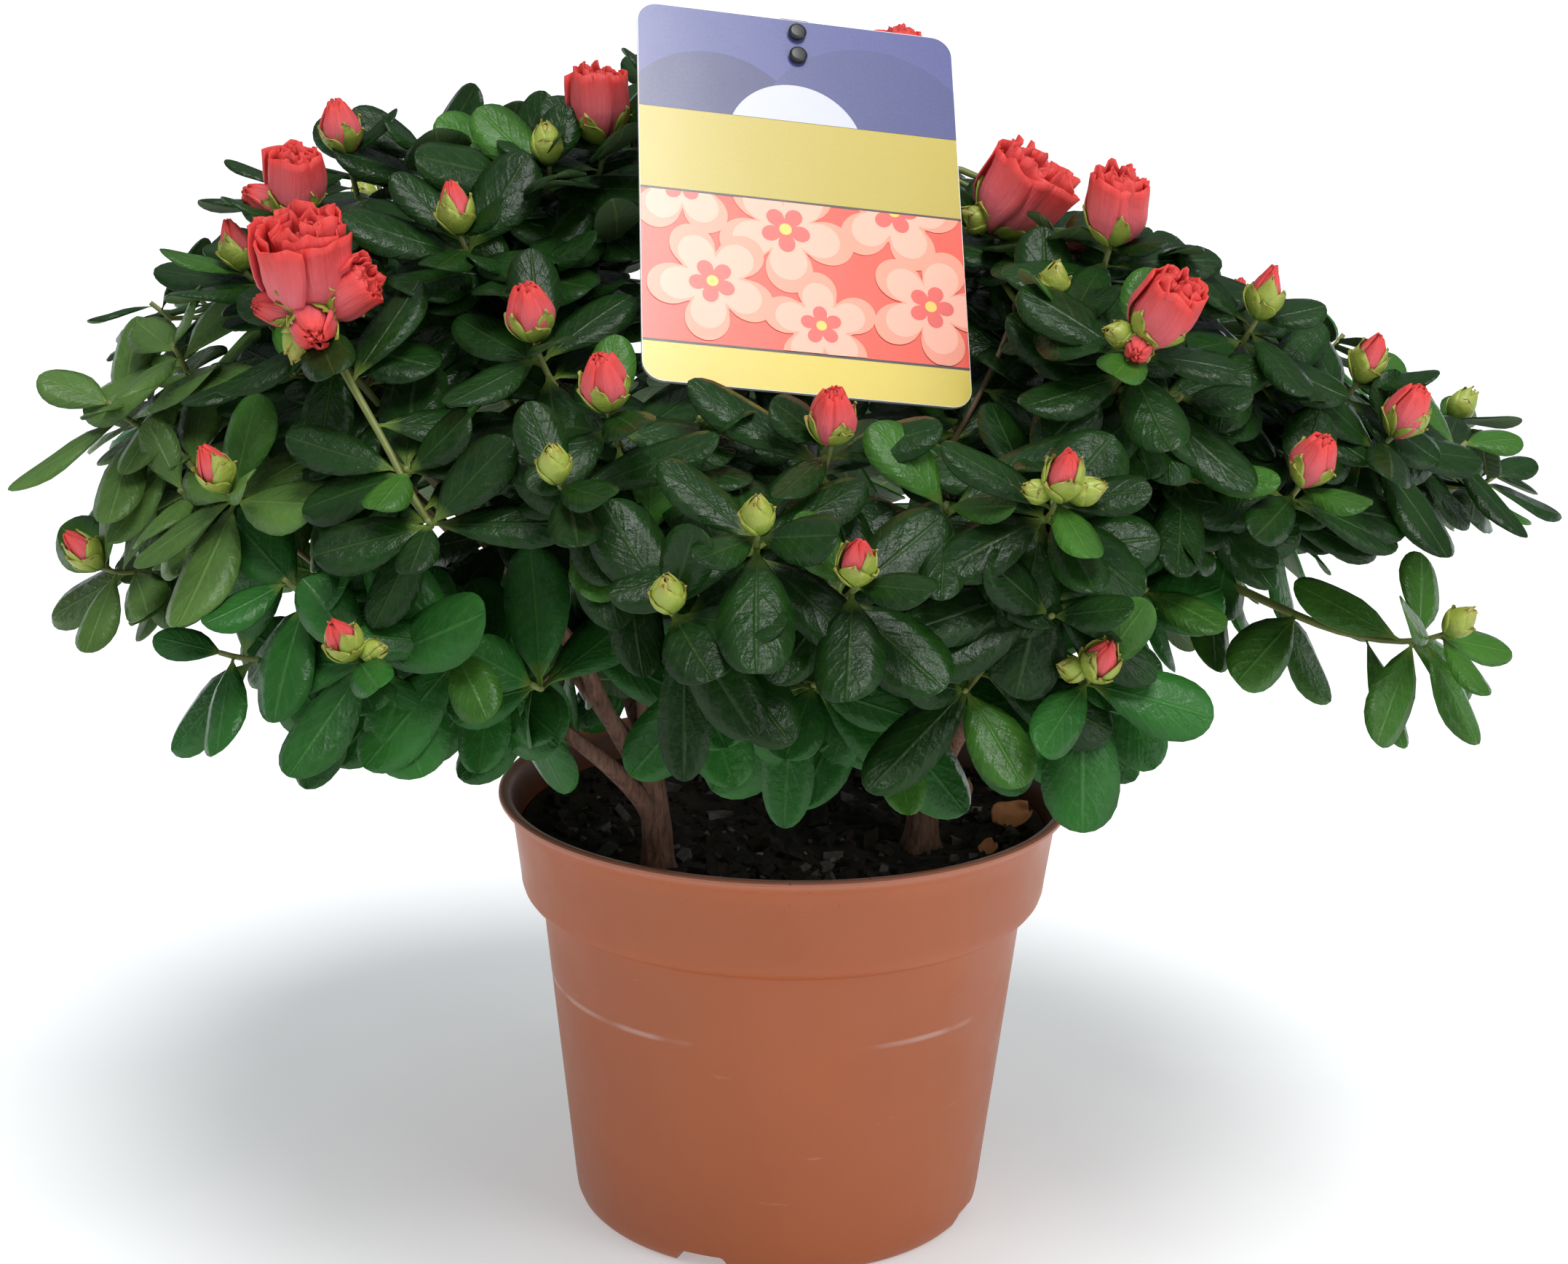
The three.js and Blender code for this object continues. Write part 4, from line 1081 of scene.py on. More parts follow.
def trunk_points(trunk, count):
    """Points and radii up a trunk, from its flared foot."""
    foot = MM * Vector((*trunk["foot"], SOIL_LEVEL - 2))
    tall = MM * (trunk["top"] + 1) - foot.z
    rows = []
    for i in range(count):
        share = i / (count - 1)
        flare = (trunk["flare"] - trunk["radius"]) * max(0, 1 - share / 0.3) ** 2
        lean = MM * Vector((*trunk["lean"], 0)) * share**1.5
        radius = mix(trunk["radius"], trunk["tip"], share) + flare
        rows.append((foot + lean + tall * share * UP, MM * radius))
    return rows


def bough_curve(bough, count):
    """Points of a bough from inside its stem to its tip."""
    _, stem, leaves, turn, rise, reach, arch = bough
    trunk = TRUNKS[stem]
    foot = MM * Vector((*trunk["foot"], SOIL_LEVEL + 0.3))
    share = min(leaves, trunk["top"] - 1)
    share = (share - SOIL_LEVEL - 0.3) / (trunk["top"] - SOIL_LEVEL - 0.3)
    start = foot + MM * Vector((*trunk["lean"], 0)) * share**1.5 + (MM * trunk["top"] - foot.z) * share * UP
    end = crown_point(turn, rise, reach)
    out = (end - start).normalized()
    leaving = (out + arch * UP).normalized()
    arriving = (out - 0.4 * arch * UP).normalized()
    points = bend(start, leaving, end, arriving, count)
    points[-1] = points[-1] + arriving * MM
    return points


class Shoot:
    """One leafy stem: its points from root to tip, its end bud, its order, its spray and its place there."""

    def __init__(self, points, bud, order, spray, number=0):
        self.points = points
        self.bud = bud
        self.order = order
        self.spray = spray
        self.number = number

    @property
    def tip(self):
        return self.points[-1]

    @property
    def length(self):
        return sum((b - a).length for a, b in zip(self.points, self.points[1:]))

    def back(self, distance):
        """The point a given way back from the tip."""
        left = distance
        for before, after in zip(self.points[-2::-1], self.points[:0:-1]):
            run = (after - before).length
            if left <= run:
                return after.lerp(before, left / run)
            left -= run
        return self.points[0].copy()


def spray_rows():
    """Every spray of the crown with the places of its shoots, those that face the viewer first."""
    rows = [
        {"name": name, "bough": bough, "shade": shade, "hang": hang, "facing": True, "shoots": shoots}
        for name, bough, shade, hang, shoots in FRONT_SPRAYS
    ]
    for name, first, step, reach, spread, shade, rises in REAR_RINGS:
        for i, (bough, rise) in enumerate(zip(REAR_BOUGHS, rises)):
            draw = seeded(101 + 17 * len(rows))
            buds = REAR_BUDS[i].split()
            shoots = [(first + i * step, rise, reach, buds[0])]
            for k, bud in enumerate(buds[1:]):
                off = spread * (1 if k == 0 else 0.9 + 0.25 * draw())
                turn, up = off_turn(shoots[0], off, math.radians(60 + 77 * i + k * GOLDEN_TURN))
                shoots.append((turn, up, reach * (0.97 + 0.06 * draw()), bud))
            rows.append({
                "name": f"{name}_{i + 1}", "bough": bough, "shade": shade, "hang": 0.25, "facing": False,
                "shoots": shoots,
            })
    return rows


def shoot_end(turn, rise, reach, bud):
    """Where a shoot ends: at its place in the crown, or half a bloom short of it."""
    end = crown_point(turn, rise, reach)
    size = BLOOMS[bud]
    return end - growth_at(end) * (MM * size[0] / 2 if size else 0)


def off_turn(lead, off, angle):
    """Turn and rise of a place off the leading shoot's, in a direction over the dome."""
    wide = max(0.35, math.cos(math.radians(lead[1])))
    return lead[0] + off * math.cos(angle) / wide, lead[1] + off * math.sin(angle)


def side_shoot(stem, share, end, count):
    """A shoot that leaves a stem at a share of its way and bends up to its end."""
    at = share * (len(stem) - 1)
    i = min(len(stem) - 2, int(at))
    start = stem[i].lerp(stem[i + 1], at - i)
    along = (stem[i + 1] - stem[i]).normalized()
    leaving = ((end - start).normalized() * 0.6 + along).normalized()
    return bend(start, leaving, end, growth_at(end), count)


def noise_at(point):
    """A smooth random vector that is the same in each run, which the module's own noise vector is not."""
    return Vector([noise.noise(point + Vector((0, 0, far))) for far in (0, 37.3, 74.6)])


def swayed(points, most):
    """Points of a stem with its small natural bends. Both ends stay where they are."""
    last = len(points) - 1
    return [
        point + noise_at(point * 38) * most * math.sin(math.pi * i / last) for i, point in enumerate(points)
    ]


def source_shoots(spray, bough, sibling, draw):
    """The leading stem and side shoots that the solids have."""
    lead = shoot_end(*spray["shoots"][0])
    before, tip = bough[-2], bough[-1]
    start = tip.lerp(before, min(0.9, sibling * SIBLING_STEP * MM / (tip - before).length))
    out = (lead - start).normalized()
    leaving = (out + 0.15 * UP).normalized()
    stem = bend(start, leaving, lead, growth_at(lead), STEM_RINGS)
    smooth = bend(start, leaving, lead, growth_at(lead), SHOOT_POINTS)
    shoots = [Shoot(swayed(smooth, 0.0022), spray["shoots"][0][3], 0, spray)]
    sides = spray["shoots"][1:]
    for k, side in enumerate(sides):
        share = 0.3 + 0.4 * k / max(1, len(sides) - 1) + 0.05 * draw()
        points = swayed(side_shoot(stem, share, shoot_end(*side), SHOOT_POINTS), 0.0012)
        while over_roof(points[-1] + 0.004 * UP) and side[3] == "none" and len(points) > 5:
            points.pop()
        shoots.append(Shoot(points, side[3], 1, spray, k + 1))
    return shoots


def skirt_at(point):
    """Height of the crown's open underside at a point, in metres."""
    turn = math.degrees(math.atan2(point.y, point.x))
    turns, heights = zip(*SKIRT)
    outer = float(np.interp(turn, turns, heights))
    inside = math.hypot(point.x / CROWN["half_width"], point.y / CROWN["half_depth"]) / MM
    return MM * mix(INNER_SKIRT, outer, min(1, max(0, (inside - 0.35) / 0.25)))


def over_roof(point):
    """True where a leaf would stand up out of the crown's lower right side."""
    places, heights = zip(*ROOF)
    return (point.z + SEEN_SLOPE * point.y) / MM > np.interp(point.x / MM, places, heights)


def finer_shoots(parent, tips, spacing, count, depth, order, draw):
    """Finer twigs of a shoot, a golden turn apart, each where no other shoot ends within the spacing."""
    shoots = []
    axis = growth_at(parent.tip)
    flank = axis.orthogonal().normalized()
    first = 360 * draw()
    facing = parent.spray["facing"]
    for k in range(count):
        round_it = Matrix.Rotation(math.radians(first + k * GOLDEN_TURN), 3, axis) @ flank
        end = parent.tip + round_it * mix(*TWIG_REACH[facing], draw()) - axis * MM * mix(*depth, draw())
        chance, share = draw(), mix(0.35, 0.8, draw())
        if outline_share(end) >= TWIG_LIMIT[facing] or over_roof(end) or end.z < skirt_at(end) + 0.006:
            continue
        if any((end - tip).length < spacing for tip in tips) or in_card_space(end) or blocks_view(end, 0.8):
            continue
        tips.append(end)
        bud = "green" if not facing and order == 2 and chance < 0.25 else "none"
        shoots.append(Shoot(side_shoot(parent.points, share, end, TWIG_POINTS), bud, order, parent.spray))
    return shoots


def inner_shoots(boughs, spray):
    """Short twigs that leave the boughs inside the crown and hang over the pot's far lip and left side."""
    shoots = []
    draw = seeded(77)
    for bough, share, sideways in INNER_TWIGS:
        curve = boughs[bough]
        at = share * (len(curve) - 1)
        k = min(len(curve) - 2, int(at))
        start = curve[k].lerp(curve[k + 1], at - k)
        along = (curve[k + 1] - curve[k]).normalized()
        flank = along.cross(UP).normalized() * math.copysign(1, sideways)
        aside = flank * abs(sideways) * (0.8 + 0.4 * draw())
        end = start + MM * (aside + along * 8 - UP * mix(0, 9, draw()))
        end.z = max(end.z, LOWEST_INNER)
        points = bend(start, (along + flank).normalized(), end, flank, TWIG_POINTS)
        shoots.append(Shoot(points, "none", 1, spray, INNER_NUMBER))
    return shoots


def crown_shoots(settings):
    """Every shoot of the crown by the source's rule, carried on to finer twigs within the same reach."""
    boughs = [bough_curve(bough, BOUGH_RINGS) for bough in BOUGHS]
    rows = spray_rows()
    shoots = []
    for i, spray in enumerate(rows):
        sibling = sum(other["bough"] == spray["bough"] for other in rows[:i])
        shoots.extend(source_shoots(spray, boughs[spray["bough"]], sibling, seeded(settings.seed + 17 * i)))
    grown = list(shoots)
    hanging = {**rows[-1], "hang": 0.8, "shade": "mid"}
    shoots.extend(inner_shoots(boughs, hanging))
    tips = [shoot.tip for shoot in shoots]
    for order, spacing, count, depth in (
        (2, settings.spacing, 3, (11, 24)),
        (3, settings.inner_spacing, 5, (28, 55)),
    ):
        for i, parent in enumerate(grown):
            draw = seeded(9001 * order + 31 * i)
            many = count if parent.spray["facing"] else REAR_TWIGS
            shoots.extend(finer_shoots(parent, tips, spacing, many, depth, order, draw))
    return shoots


# What must stay clear of leaves


def card_matrix():
    """Place of the card: X across, Z up its face, the face towards its own -Y."""
    turns = {key: math.radians(value) for key, value in CARD_TURNS.items()}
    spin = (
        Matrix.Rotation(turns["yaw"], 4, "Z")
        @ Matrix.Rotation(turns["lean"], 4, "X")
        @ Matrix.Rotation(turns["tilt"], 4, "Y")
    )
    return Matrix.Translation(MM * Vector(CARD_CENTRE)) @ spin


INTO_CARD = card_matrix().inverted()
# Space in front of the card and round it, in metres in its own frame
CARD_SPACE = {"half_width": 0.037, "half_height": 0.047, "front": -0.07, "back": 0.0026}
# How far out a leaf may reach, where 1 is the crown's outline
LEAF_LIMIT = 1.09
# Gap through which the left stem shows, in metres
STEM_GAP = {"left": -0.046, "right": -0.019, "front": -0.045, "top": 0.148}
# Over the pot, leaves keep above these heights: towards the viewer and elsewhere, within a radius
OVER_POT = {"front": 0.136, "rest": 0.118, "radius": 0.072}
# Places on the left bough and round its flowers that show between the leaves: x, y, z, radius in millimetres
WINDOWS = [
    (-36, -40, 129, 5), (-41, -41, 139, 5), (-47, -43, 148, 5), (-54, -50, 160, 6), (-66, -65, 181, 6),
    (-73, -75, 193, 6), (-80, -84, 206, 6), (-85, -89, 214, 5),
]


def in_card_space(point):
    """True for a place where a leaf would hide the card or go through it."""
    local = INTO_CARD @ point
    if abs(local.x) >= CARD_SPACE["half_width"] or abs(local.z) >= CARD_SPACE["half_height"]:
        return False
    return CARD_SPACE["front"] < local.y < CARD_SPACE["back"]


def blocks_view(point, grow=1.0):
    """True where something would stand between the viewer and a place that has to show."""
    for x, y, z, radius in WINDOWS + bloom_windows:
        seen = MM * Vector((x, y, z)) - EYE
        along = (point - EYE).dot(seen) / seen.length_squared
        if 0.5 < along < 0.995 and (EYE + seen * along - point).length < radius * MM * grow:
            return True
    return False


# The facing flowers, as further rows of WINDOWS: note_blooms fills it
bloom_windows = []


def leaf_fits(samples, filling, lowest):
    """True if a leaf stays in the crown's reach and clear of the pot, the card and what has to show."""
    for p in samples:
        if p.z < (skirt_at(p) if filling else lowest) or outline_share(p) > LEAF_LIMIT:
            return False
        over_front = p.y < -0.02 and p.x > -0.05
        least = OVER_POT["front"] if over_front else OVER_POT["rest"]
        if p.z < least and math.hypot(p.x, p.y) < OVER_POT["radius"]:
            return False
        if STEM_GAP["left"] < p.x < STEM_GAP["right"] and p.y < STEM_GAP["front"] and p.z < STEM_GAP["top"]:
            return False
        if over_roof(p) or in_card_space(p) or blocks_view(p):
            return False
    return True


# Leaves

# Stations along a blade with its half width there, as shares of length and half width, and points across it
BLADE_WIDTHS = [
    (0.0, 0.08), (0.07, 0.09), (0.16, 0.33), (0.28, 0.65), (0.42, 0.89), (0.56, 0.99), (0.68, 0.99),
    (0.79, 0.9), (0.88, 0.735), (0.94, 0.54), (0.98, 0.32), (1.0, 0.05),
]
BLADE_ACROSS = [
    (-0.97, -0.22), (-1.0, -0.14), (-0.56, 0.02), (0.0, -0.06), (0.56, 0.02), (1.0, -0.14), (0.97, -0.22),
]
BACK_ACROSS = [(-0.97, -0.22), (0.0, -0.13), (0.97, -0.22)]


def blade_template(across):
    """Shares along, across and in lift of a blade's points, its faces, and its map."""
    along, side, lift = [], [], []
    for station, half in BLADE_WIDTHS:
        for offset, height in across:
            along.append(station)
            side.append(offset * half)
            lift.append(height * half)
    quads = grid_quads(len(BLADE_WIDTHS), len(across))[:, ::-1]
    along, side, lift = map(np.array, (along, side, lift))
    offsets = np.tile([offset for offset, _ in across], len(BLADE_WIDTHS))
    mapping = np.stack([0.5 + 0.5 * offsets, along], 1)
    return along, side, lift, quads, mapping


def blades(leaves, across, back=False):
    """All leaves of a list as one joined mesh: arched along, rolled at the margins and a little twisted."""
    along, side, lift, quads, mapping = blade_template(across)
    root = np.array([leaf["root"] for leaf in leaves])[:, None]
    direction = np.array([leaf["direction"] for leaf in leaves])[:, None]
    face = np.array([leaf["face"] for leaf in leaves])[:, None]
    measures = ("length", "width", "droop", "cup", "twist", "sway")
    length, width, droop, cup, twist, sway = (
        np.array([leaf[key] for leaf in leaves])[:, None] for key in measures
    )
    flank = np.cross(direction, face)
    angle = twist * along
    turned_flank = flank * np.cos(angle)[..., None] + face * np.sin(angle)[..., None]
    turned_face = face * np.cos(angle)[..., None] - flank * np.sin(angle)[..., None]
    rise = lift * cup * width / 2
    drop = droop * length * along**1.8
    reach = length * (along - 0.35 * droop * along**3)
    wave = 0.02 * length * np.sin(7 * along + 11 * sway) * np.abs(side)
    points = (
        root + direction * reach[..., None] + turned_flank * (side * width / 2)[..., None]
        + turned_face * (rise + wave)[..., None] - face * drop[..., None]
        + flank * (sway * length * along**2)[..., None]
    )
    count = len(along)
    all_quads = (quads[None] + (np.arange(len(leaves)) * count)[:, None, None]).reshape(-1, 4)
    if back:
        all_quads = all_quads[:, ::-1]
    return points.reshape(-1, 3), all_quads, np.tile(mapping, (len(leaves), 1))


def place_leaf(root, direction, face, scale, filling, settings, draw):
    """One leaf's measures, or None if it would leave the crown or stand in the way."""
    length = settings.length * scale[0] * (0.84 + 0.34 * draw())
    width = settings.width * (0.25 + 0.75 * scale[1]) * (0.78 + 0.42 * draw())
    droop = 0.02 + 0.16 * draw()
    flank = direction.cross(face)
    samples = [
        root + direction * length * 0.6,
        root + direction * length * 0.62 + flank * width / 2,
        root + direction * length * 0.62 - flank * width / 2,
        root + direction * length * (1 - 0.35 * droop) - face * droop * length,
    ]
    leaf = {
        "root": root, "direction": direction, "face": face, "length": length, "width": width, "droop": droop,
        "cup": 0.7 + 0.8 * draw(), "twist": 0.5 * (draw() - 0.5), "sway": 0.12 * (draw() - 0.5),
    }
    return leaf if leaf_fits(samples, filling, LOWEST_TIP + 0.03 * draw() ** 1.5) else None


# Share of the whorl and number of leaves down the stem, by a shoot's order
LEAF_PLAN = {0: (1.0, 4), 1: (1.0, 3), 2: (0.85, 2), 3: (0.7, 1)}
# Length and width of the leaves by their shade, as shares
LEAF_SIZE = {"deep": (1.05, 1.02), "mid": (1.1, 1.15), "olive": (1.05, 1.1), "fresh": (1.05, 0.98)}
# Least height of the leaves that don't fill the crown, in metres
LOWEST_TIP = 0.121
# A whorl, in metres and degrees: how far its first leaf stands from the tip, its depth, and how far it opens
WHORL_FIRST, WHORL_DEPTH = 0.0012, 0.011
WHORL_OPEN, WHORL_SPREAD = 42, 56
# Leaves down the stem: how far the first one stands from the tip, and how far they open
STEM_FIRST, STEM_OPEN = 0.015, 72
# Step between the leaves down a stem, in metres: on the long right twig, and elsewhere
LONG_STEP, STEP = 0.0085, 0.0115
# At the top the whorls open less and their leaves turn further to the viewer
TOP_OPENING, TOP_TURN, VIEWER_TURN = 0.76, -0.6, -0.22


def shoot_leaves(shoot, settings, draw):
    """Leaves of one shoot: a whorl round its tip, and single ones down its stem, a golden turn apart."""
    axis = growth_at(shoot.tip)
    across = UP.cross(axis).normalized() if abs(axis.z) < 0.9 else Vector((1, 0, 0))
    other = axis.cross(across)
    share, on_stem = LEAF_PLAN[shoot.order]
    size, hang = LEAF_SIZE[shoot.spray["shade"]], shoot.spray["hang"]
    filling = shoot.order > 1 or hang < 0.36
    long_twig = shoot.spray["shade"] == "fresh"
    step = LONG_STEP if long_twig else STEP
    if long_twig:
        on_stem = 6
    elif hang > 0.4:
        share, on_stem = share * 0.72, max(on_stem, round(shoot.length / 0.012) - 2)
    at_top = shoot.spray["name"].startswith("top")
    whorl = max(4, round(settings.whorl * share - 0.8 + 1.6 * draw()))
    first = 2 * math.pi * draw()
    leaves = []
    for i in range(whorl + on_stem):
        in_whorl = i < whorl
        if in_whorl:
            low = i / whorl
            back = WHORL_FIRST + WHORL_DEPTH * low
            base_open = WHORL_OPEN + WHORL_SPREAD * low**0.7
            scale = mix(0.62, 1.0, min(1, low * 2.6))
        else:
            back = min(STEM_FIRST + step * (i - whorl + 0.6 * draw()), shoot.length * 0.85)
            base_open = STEM_OPEN
            scale = 0.9
        root = shoot.back(back)
        for attempt in range(5):
            turn = first + math.radians(i * GOLDEN_TURN + attempt * 47)
            opening = math.radians(base_open + 18 * draw() - 6) * (TOP_OPENING if at_top else 1.0)
            spoke = across * math.cos(turn) + other * math.sin(turn)
            falling = hang * (0.1 + 0.9 * draw()) + (0.0 if in_whorl else 0.15)
            direction = (axis * math.cos(opening) + spoke * math.sin(opening) - UP * falling).normalized()
            face = axis + 0.35 * UP + 0.3 * Vector((draw() - 0.5, draw() - 0.5, draw() - 0.5))
            if shoot.spray["facing"]:
                face = face + Vector((0, TOP_TURN if at_top else VIEWER_TURN, 0))
            face = (face - direction * face.dot(direction)).normalized()
            scale = scale if attempt < 3 else scale * 0.85
            measures = (size[0] * scale, size[1] * scale)
            leaf = place_leaf(root, direction, face, measures, filling, settings, draw)
            if leaf:
                young = in_whorl and i < 2 and draw() < 0.25
                leaf["shade"] = "fresh" if young else shoot.spray["shade"]
                leaves.append(leaf)
                break
    return leaves


def tube(points, radii, sides, roughen=None):
    """A closed tube along points, its frame carried along without twisting."""
    side = None
    rows = []
    for i, (point, radius) in enumerate(zip(points, radii)):
        along = (points[min(i + 1, len(points) - 1)] - points[max(i - 1, 0)]).normalized()
        if side is None:
            side = UP if abs(along.z) < 0.9 else Vector((1, 0, 0))
        side = (side - along * side.dot(along)).normalized()
        across = along.cross(side)
        ring = []
        for k in range(sides):
            angle = 2 * math.pi * k / sides
            spoke = side * math.cos(angle) + across * math.sin(angle)
            extra = roughen(i, angle, point) if roughen else 0
            ring.append(point + spoke * (radius + extra))
        rows.append(ring)
    rows.insert(0, [points[0] + (p - points[0]) * 0.05 for p in rows[0]])
    rows.append([points[-1] + (p - points[-1]) * 0.05 for p in rows[-1]])
    grid = np.array(rows)
    return grid.reshape(-1, 3), grid_quads(len(rows), sides, closed=True), grid_map(len(rows), sides)


class AZALEA_OT_wood(bpy.types.Operator):
    """Grow the two stems and the boughs, with furrowed bark and scars of old shoots"""

    bl_idname = "azalea.wood"
    bl_label = "Build Stems and Boughs"

    def execute(self, context):
        settings = context.scene.azalea_wood
        stem_bark = bark("stem_bark", settings.color, settings.young)
        bough_bark = bark("bough_bark", settings.color, settings.young, 0.176)

        def furrows(seed, depth, scars):
            def at(i, angle, point):
                round_it = Vector((math.cos(angle), math.sin(angle), 0)) * 1.8
                coarse = noise.noise(round_it + Vector((seed, 0, point.z * 90)))
                fine = noise.noise(round_it * 3.2 + Vector((0, seed, (point.x + point.y + point.z) * 170)))
                scar = max(0, noise.noise(Vector((seed * 3.1, angle, (point.z + point.x) * 60))) - 0.25)
                return depth * (0.9 * coarse + 0.55 * fine) + scars * scar
            return at

        for i, trunk in enumerate(TRUNKS):
            rows = trunk_points(trunk, 44)
            points = [p for p, _ in rows]
            radii = [r for _, r in rows]
            for k in range(6):
                radii[-1 - k] *= math.sqrt(1 - (1 - (k + 0.4) / 6.4) ** 2)
            mesh = tube(points, radii, 26, furrows(3 + i, settings.relief, 0.0012))
            piece = array_piece(trunk["name"] + "_bark", *mesh)
            finish_piece(piece, stem_bark, "bark", [trunk["name"]])
        for i, bough in enumerate(BOUGHS):
            points = bough_curve(bough, 64)
            span = len(points) - 1
            for k, point in enumerate(points):
                held = math.sin(math.pi * k / span)
                sway = noise_at(point * 32 + Vector((i, 0, 0)))
                points[k] = point + sway * 0.0016 * held
            radii = []
            for k in range(span + 1):
                collar = max(0, 1 - k / span / 0.12) ** 2
                radii.append(MM * (mix(2.4, 1.15, (k / span) ** 0.8) + collar))
            mesh = tube(points, radii, 14, furrows(11 + i, settings.relief * 0.5, 0.0009))
            piece = array_piece(f"bough_{bough[0]}_bark", *mesh)
            finish_piece(piece, bough_bark, "bark", [f"bough_{bough[0]}"])
        return {"FINISHED"}


# Woody share of a twig's length and its radius at the root in millimetres, by its order
TWIG_PLAN = ((0.12, 1.2), (0.15, 0.95), (0.25, 0.7), (0.6, 0.65))
# Most leaves in one piece
LEAVES_A_PIECE = 1400


def nodes_of(sprays):
    return sorted({f"spray_{name}" for name in sprays})


class AZALEA_OT_foliage(bpy.types.Operator):
    """Grow twigs and leaves on from the boughs, joined by kind and shade of green"""

    bl_idname = "azalea.foliage"
    bl_label = "Build Foliage"

    def execute(self, context):
        settings = context.scene.azalea_leaves
        wood = context.scene.azalea_wood
        shoots = crown_shoots(settings)
        note_blooms(shoots)
        draw = seeded(4019)
        shades = {"deep": [], "mid": [], "fresh": [], "olive": []}
        sprays = {shade: set() for shade in shades}
        for shoot in shoots:
            for leaf in shoot_leaves(shoot, settings, draw):
                shades[leaf["shade"]].append(leaf)
                sprays[leaf["shade"]].add(shoot.spray["name"])
        everything = nodes_of(shoot.spray["name"] for shoot in shoots)
        for shade, leaves in shades.items():
            skin = leaf_skin(f"leaf_{shade}", getattr(settings, shade))
            for part, half in enumerate(even_parts(leaves, LEAVES_A_PIECE)):
                piece = array_piece(f"leaves_{shade}_{part + 1}", *blades(half, BLADE_ACROSS))
                finish_piece(piece, skin, "foliage", nodes_of(sprays[shade]))
        back = leaf_back("leaf_underside", settings.underside)
        leaves = [leaf for group in shades.values() for leaf in group]
        piece = array_piece("leaf_undersides", *blades(leaves, BACK_ACROSS, back=True))
        finish_piece(piece, back, "foliage_pale", everything)
        brown, green = [], []
        for shoot in shoots:
            count = len(shoot.points)
            woody, thick = TWIG_PLAN[shoot.order]
            split = max(1, round(count * woody))
            radii = [MM * mix(thick, 0.6, i / (count - 1)) for i in range(count)]
            brown.append(tube(shoot.points[: split + 1], radii[: split + 1], 7))
            green.append(tube(shoot.points[split:], radii[split:], 7))
        for name, parts, material, slot in (
            ("twigs_brown", brown, shoot_skin("twig_brown", (0.13, 0.085, 0.035)), "bark"),
            ("twigs_green", green, shoot_skin("twig_green", wood.young), "bud_green"),
        ):
            finish_piece(array_piece(name, *joined(parts)), material, slot, everything)
        print("shoots", len(shoots), "leaves", len(leaves), {k: len(v) for k, v in shades.items()})
        return {"FINISHED"}


def even_parts(items, most):
    """A list cut into even parts of at most so many items."""
    count = math.ceil(len(items) / most)
    return [items[i::count] for i in range(count)]


# Buds and flowers

# Whorls from the outside in: petals, radius share, height share, half span in degrees, closing, ruffle
PETAL_WHORLS = {
    "green": [],
    "tipped": [(3, 0.82, 1.0, 78, 0.85, 0.04), (2, 0.5, 0.97, 90, 0.85, 0.05)],
    "small": [(4, 1.0, 0.95, 56, 0.7, 0.05), (3, 0.74, 1.0, 70, 0.8, 0.07), (2, 0.4, 0.97, 85, 0.8, 0.08)],
    "half": [
        (3, 1.0, 0.94, 62, 0.12, 0.08), (4, 0.82, 0.98, 44, 0.17, 0.13), (4, 0.56, 1.0, 50, 0.2, 0.16),
        (2, 0.3, 0.95, 70, 0.25, 0.18),
    ],
    "open": [
        (4, 1.0, 0.95, 50, -0.08, 0.1), (4, 0.84, 1.0, 44, 0.0, 0.15), (4, 0.6, 0.98, 52, 0.08, 0.18),
        (3, 0.36, 0.95, 62, 0.12, 0.2),
    ],
}
# Scales: count, radius share, height share, half span, closing. A half span of 180 is a whole closed cone
SCALE_WHORLS = {
    "green": [
        (1, 0.86, 0.96, 180, 0.93), (2, 1.04, 0.62, 92, 0.3), (2, 1.0, 0.9, 92, 0.72),
        (2, 0.96, 1.0, 96, 0.9),
    ],
    "tipped": [(3, 1.1, 0.46, 64, 0.1), (3, 1.04, 0.7, 60, 0.32), (2, 0.96, 0.86, 50, 0.55)],
    "small": [(3, 1.12, 0.44, 52, 0.0), (4, 1.06, 0.64, 34, 0.12)],
    "half": [(3, 1.1, 0.32, 44, 0.0), (4, 1.05, 0.5, 26, 0.04)],
    "open": [(4, 1.08, 0.26, 40, 0.0), (5, 1.04, 0.42, 22, 0.0)],
}
SCALE_RUFFLE = 0.012


def folds(way):
    """Straight-sided folds, one for every whole step of the way, between -1 and 1."""
    return 4 * np.abs(way - np.floor(way + 0.5)) - 1


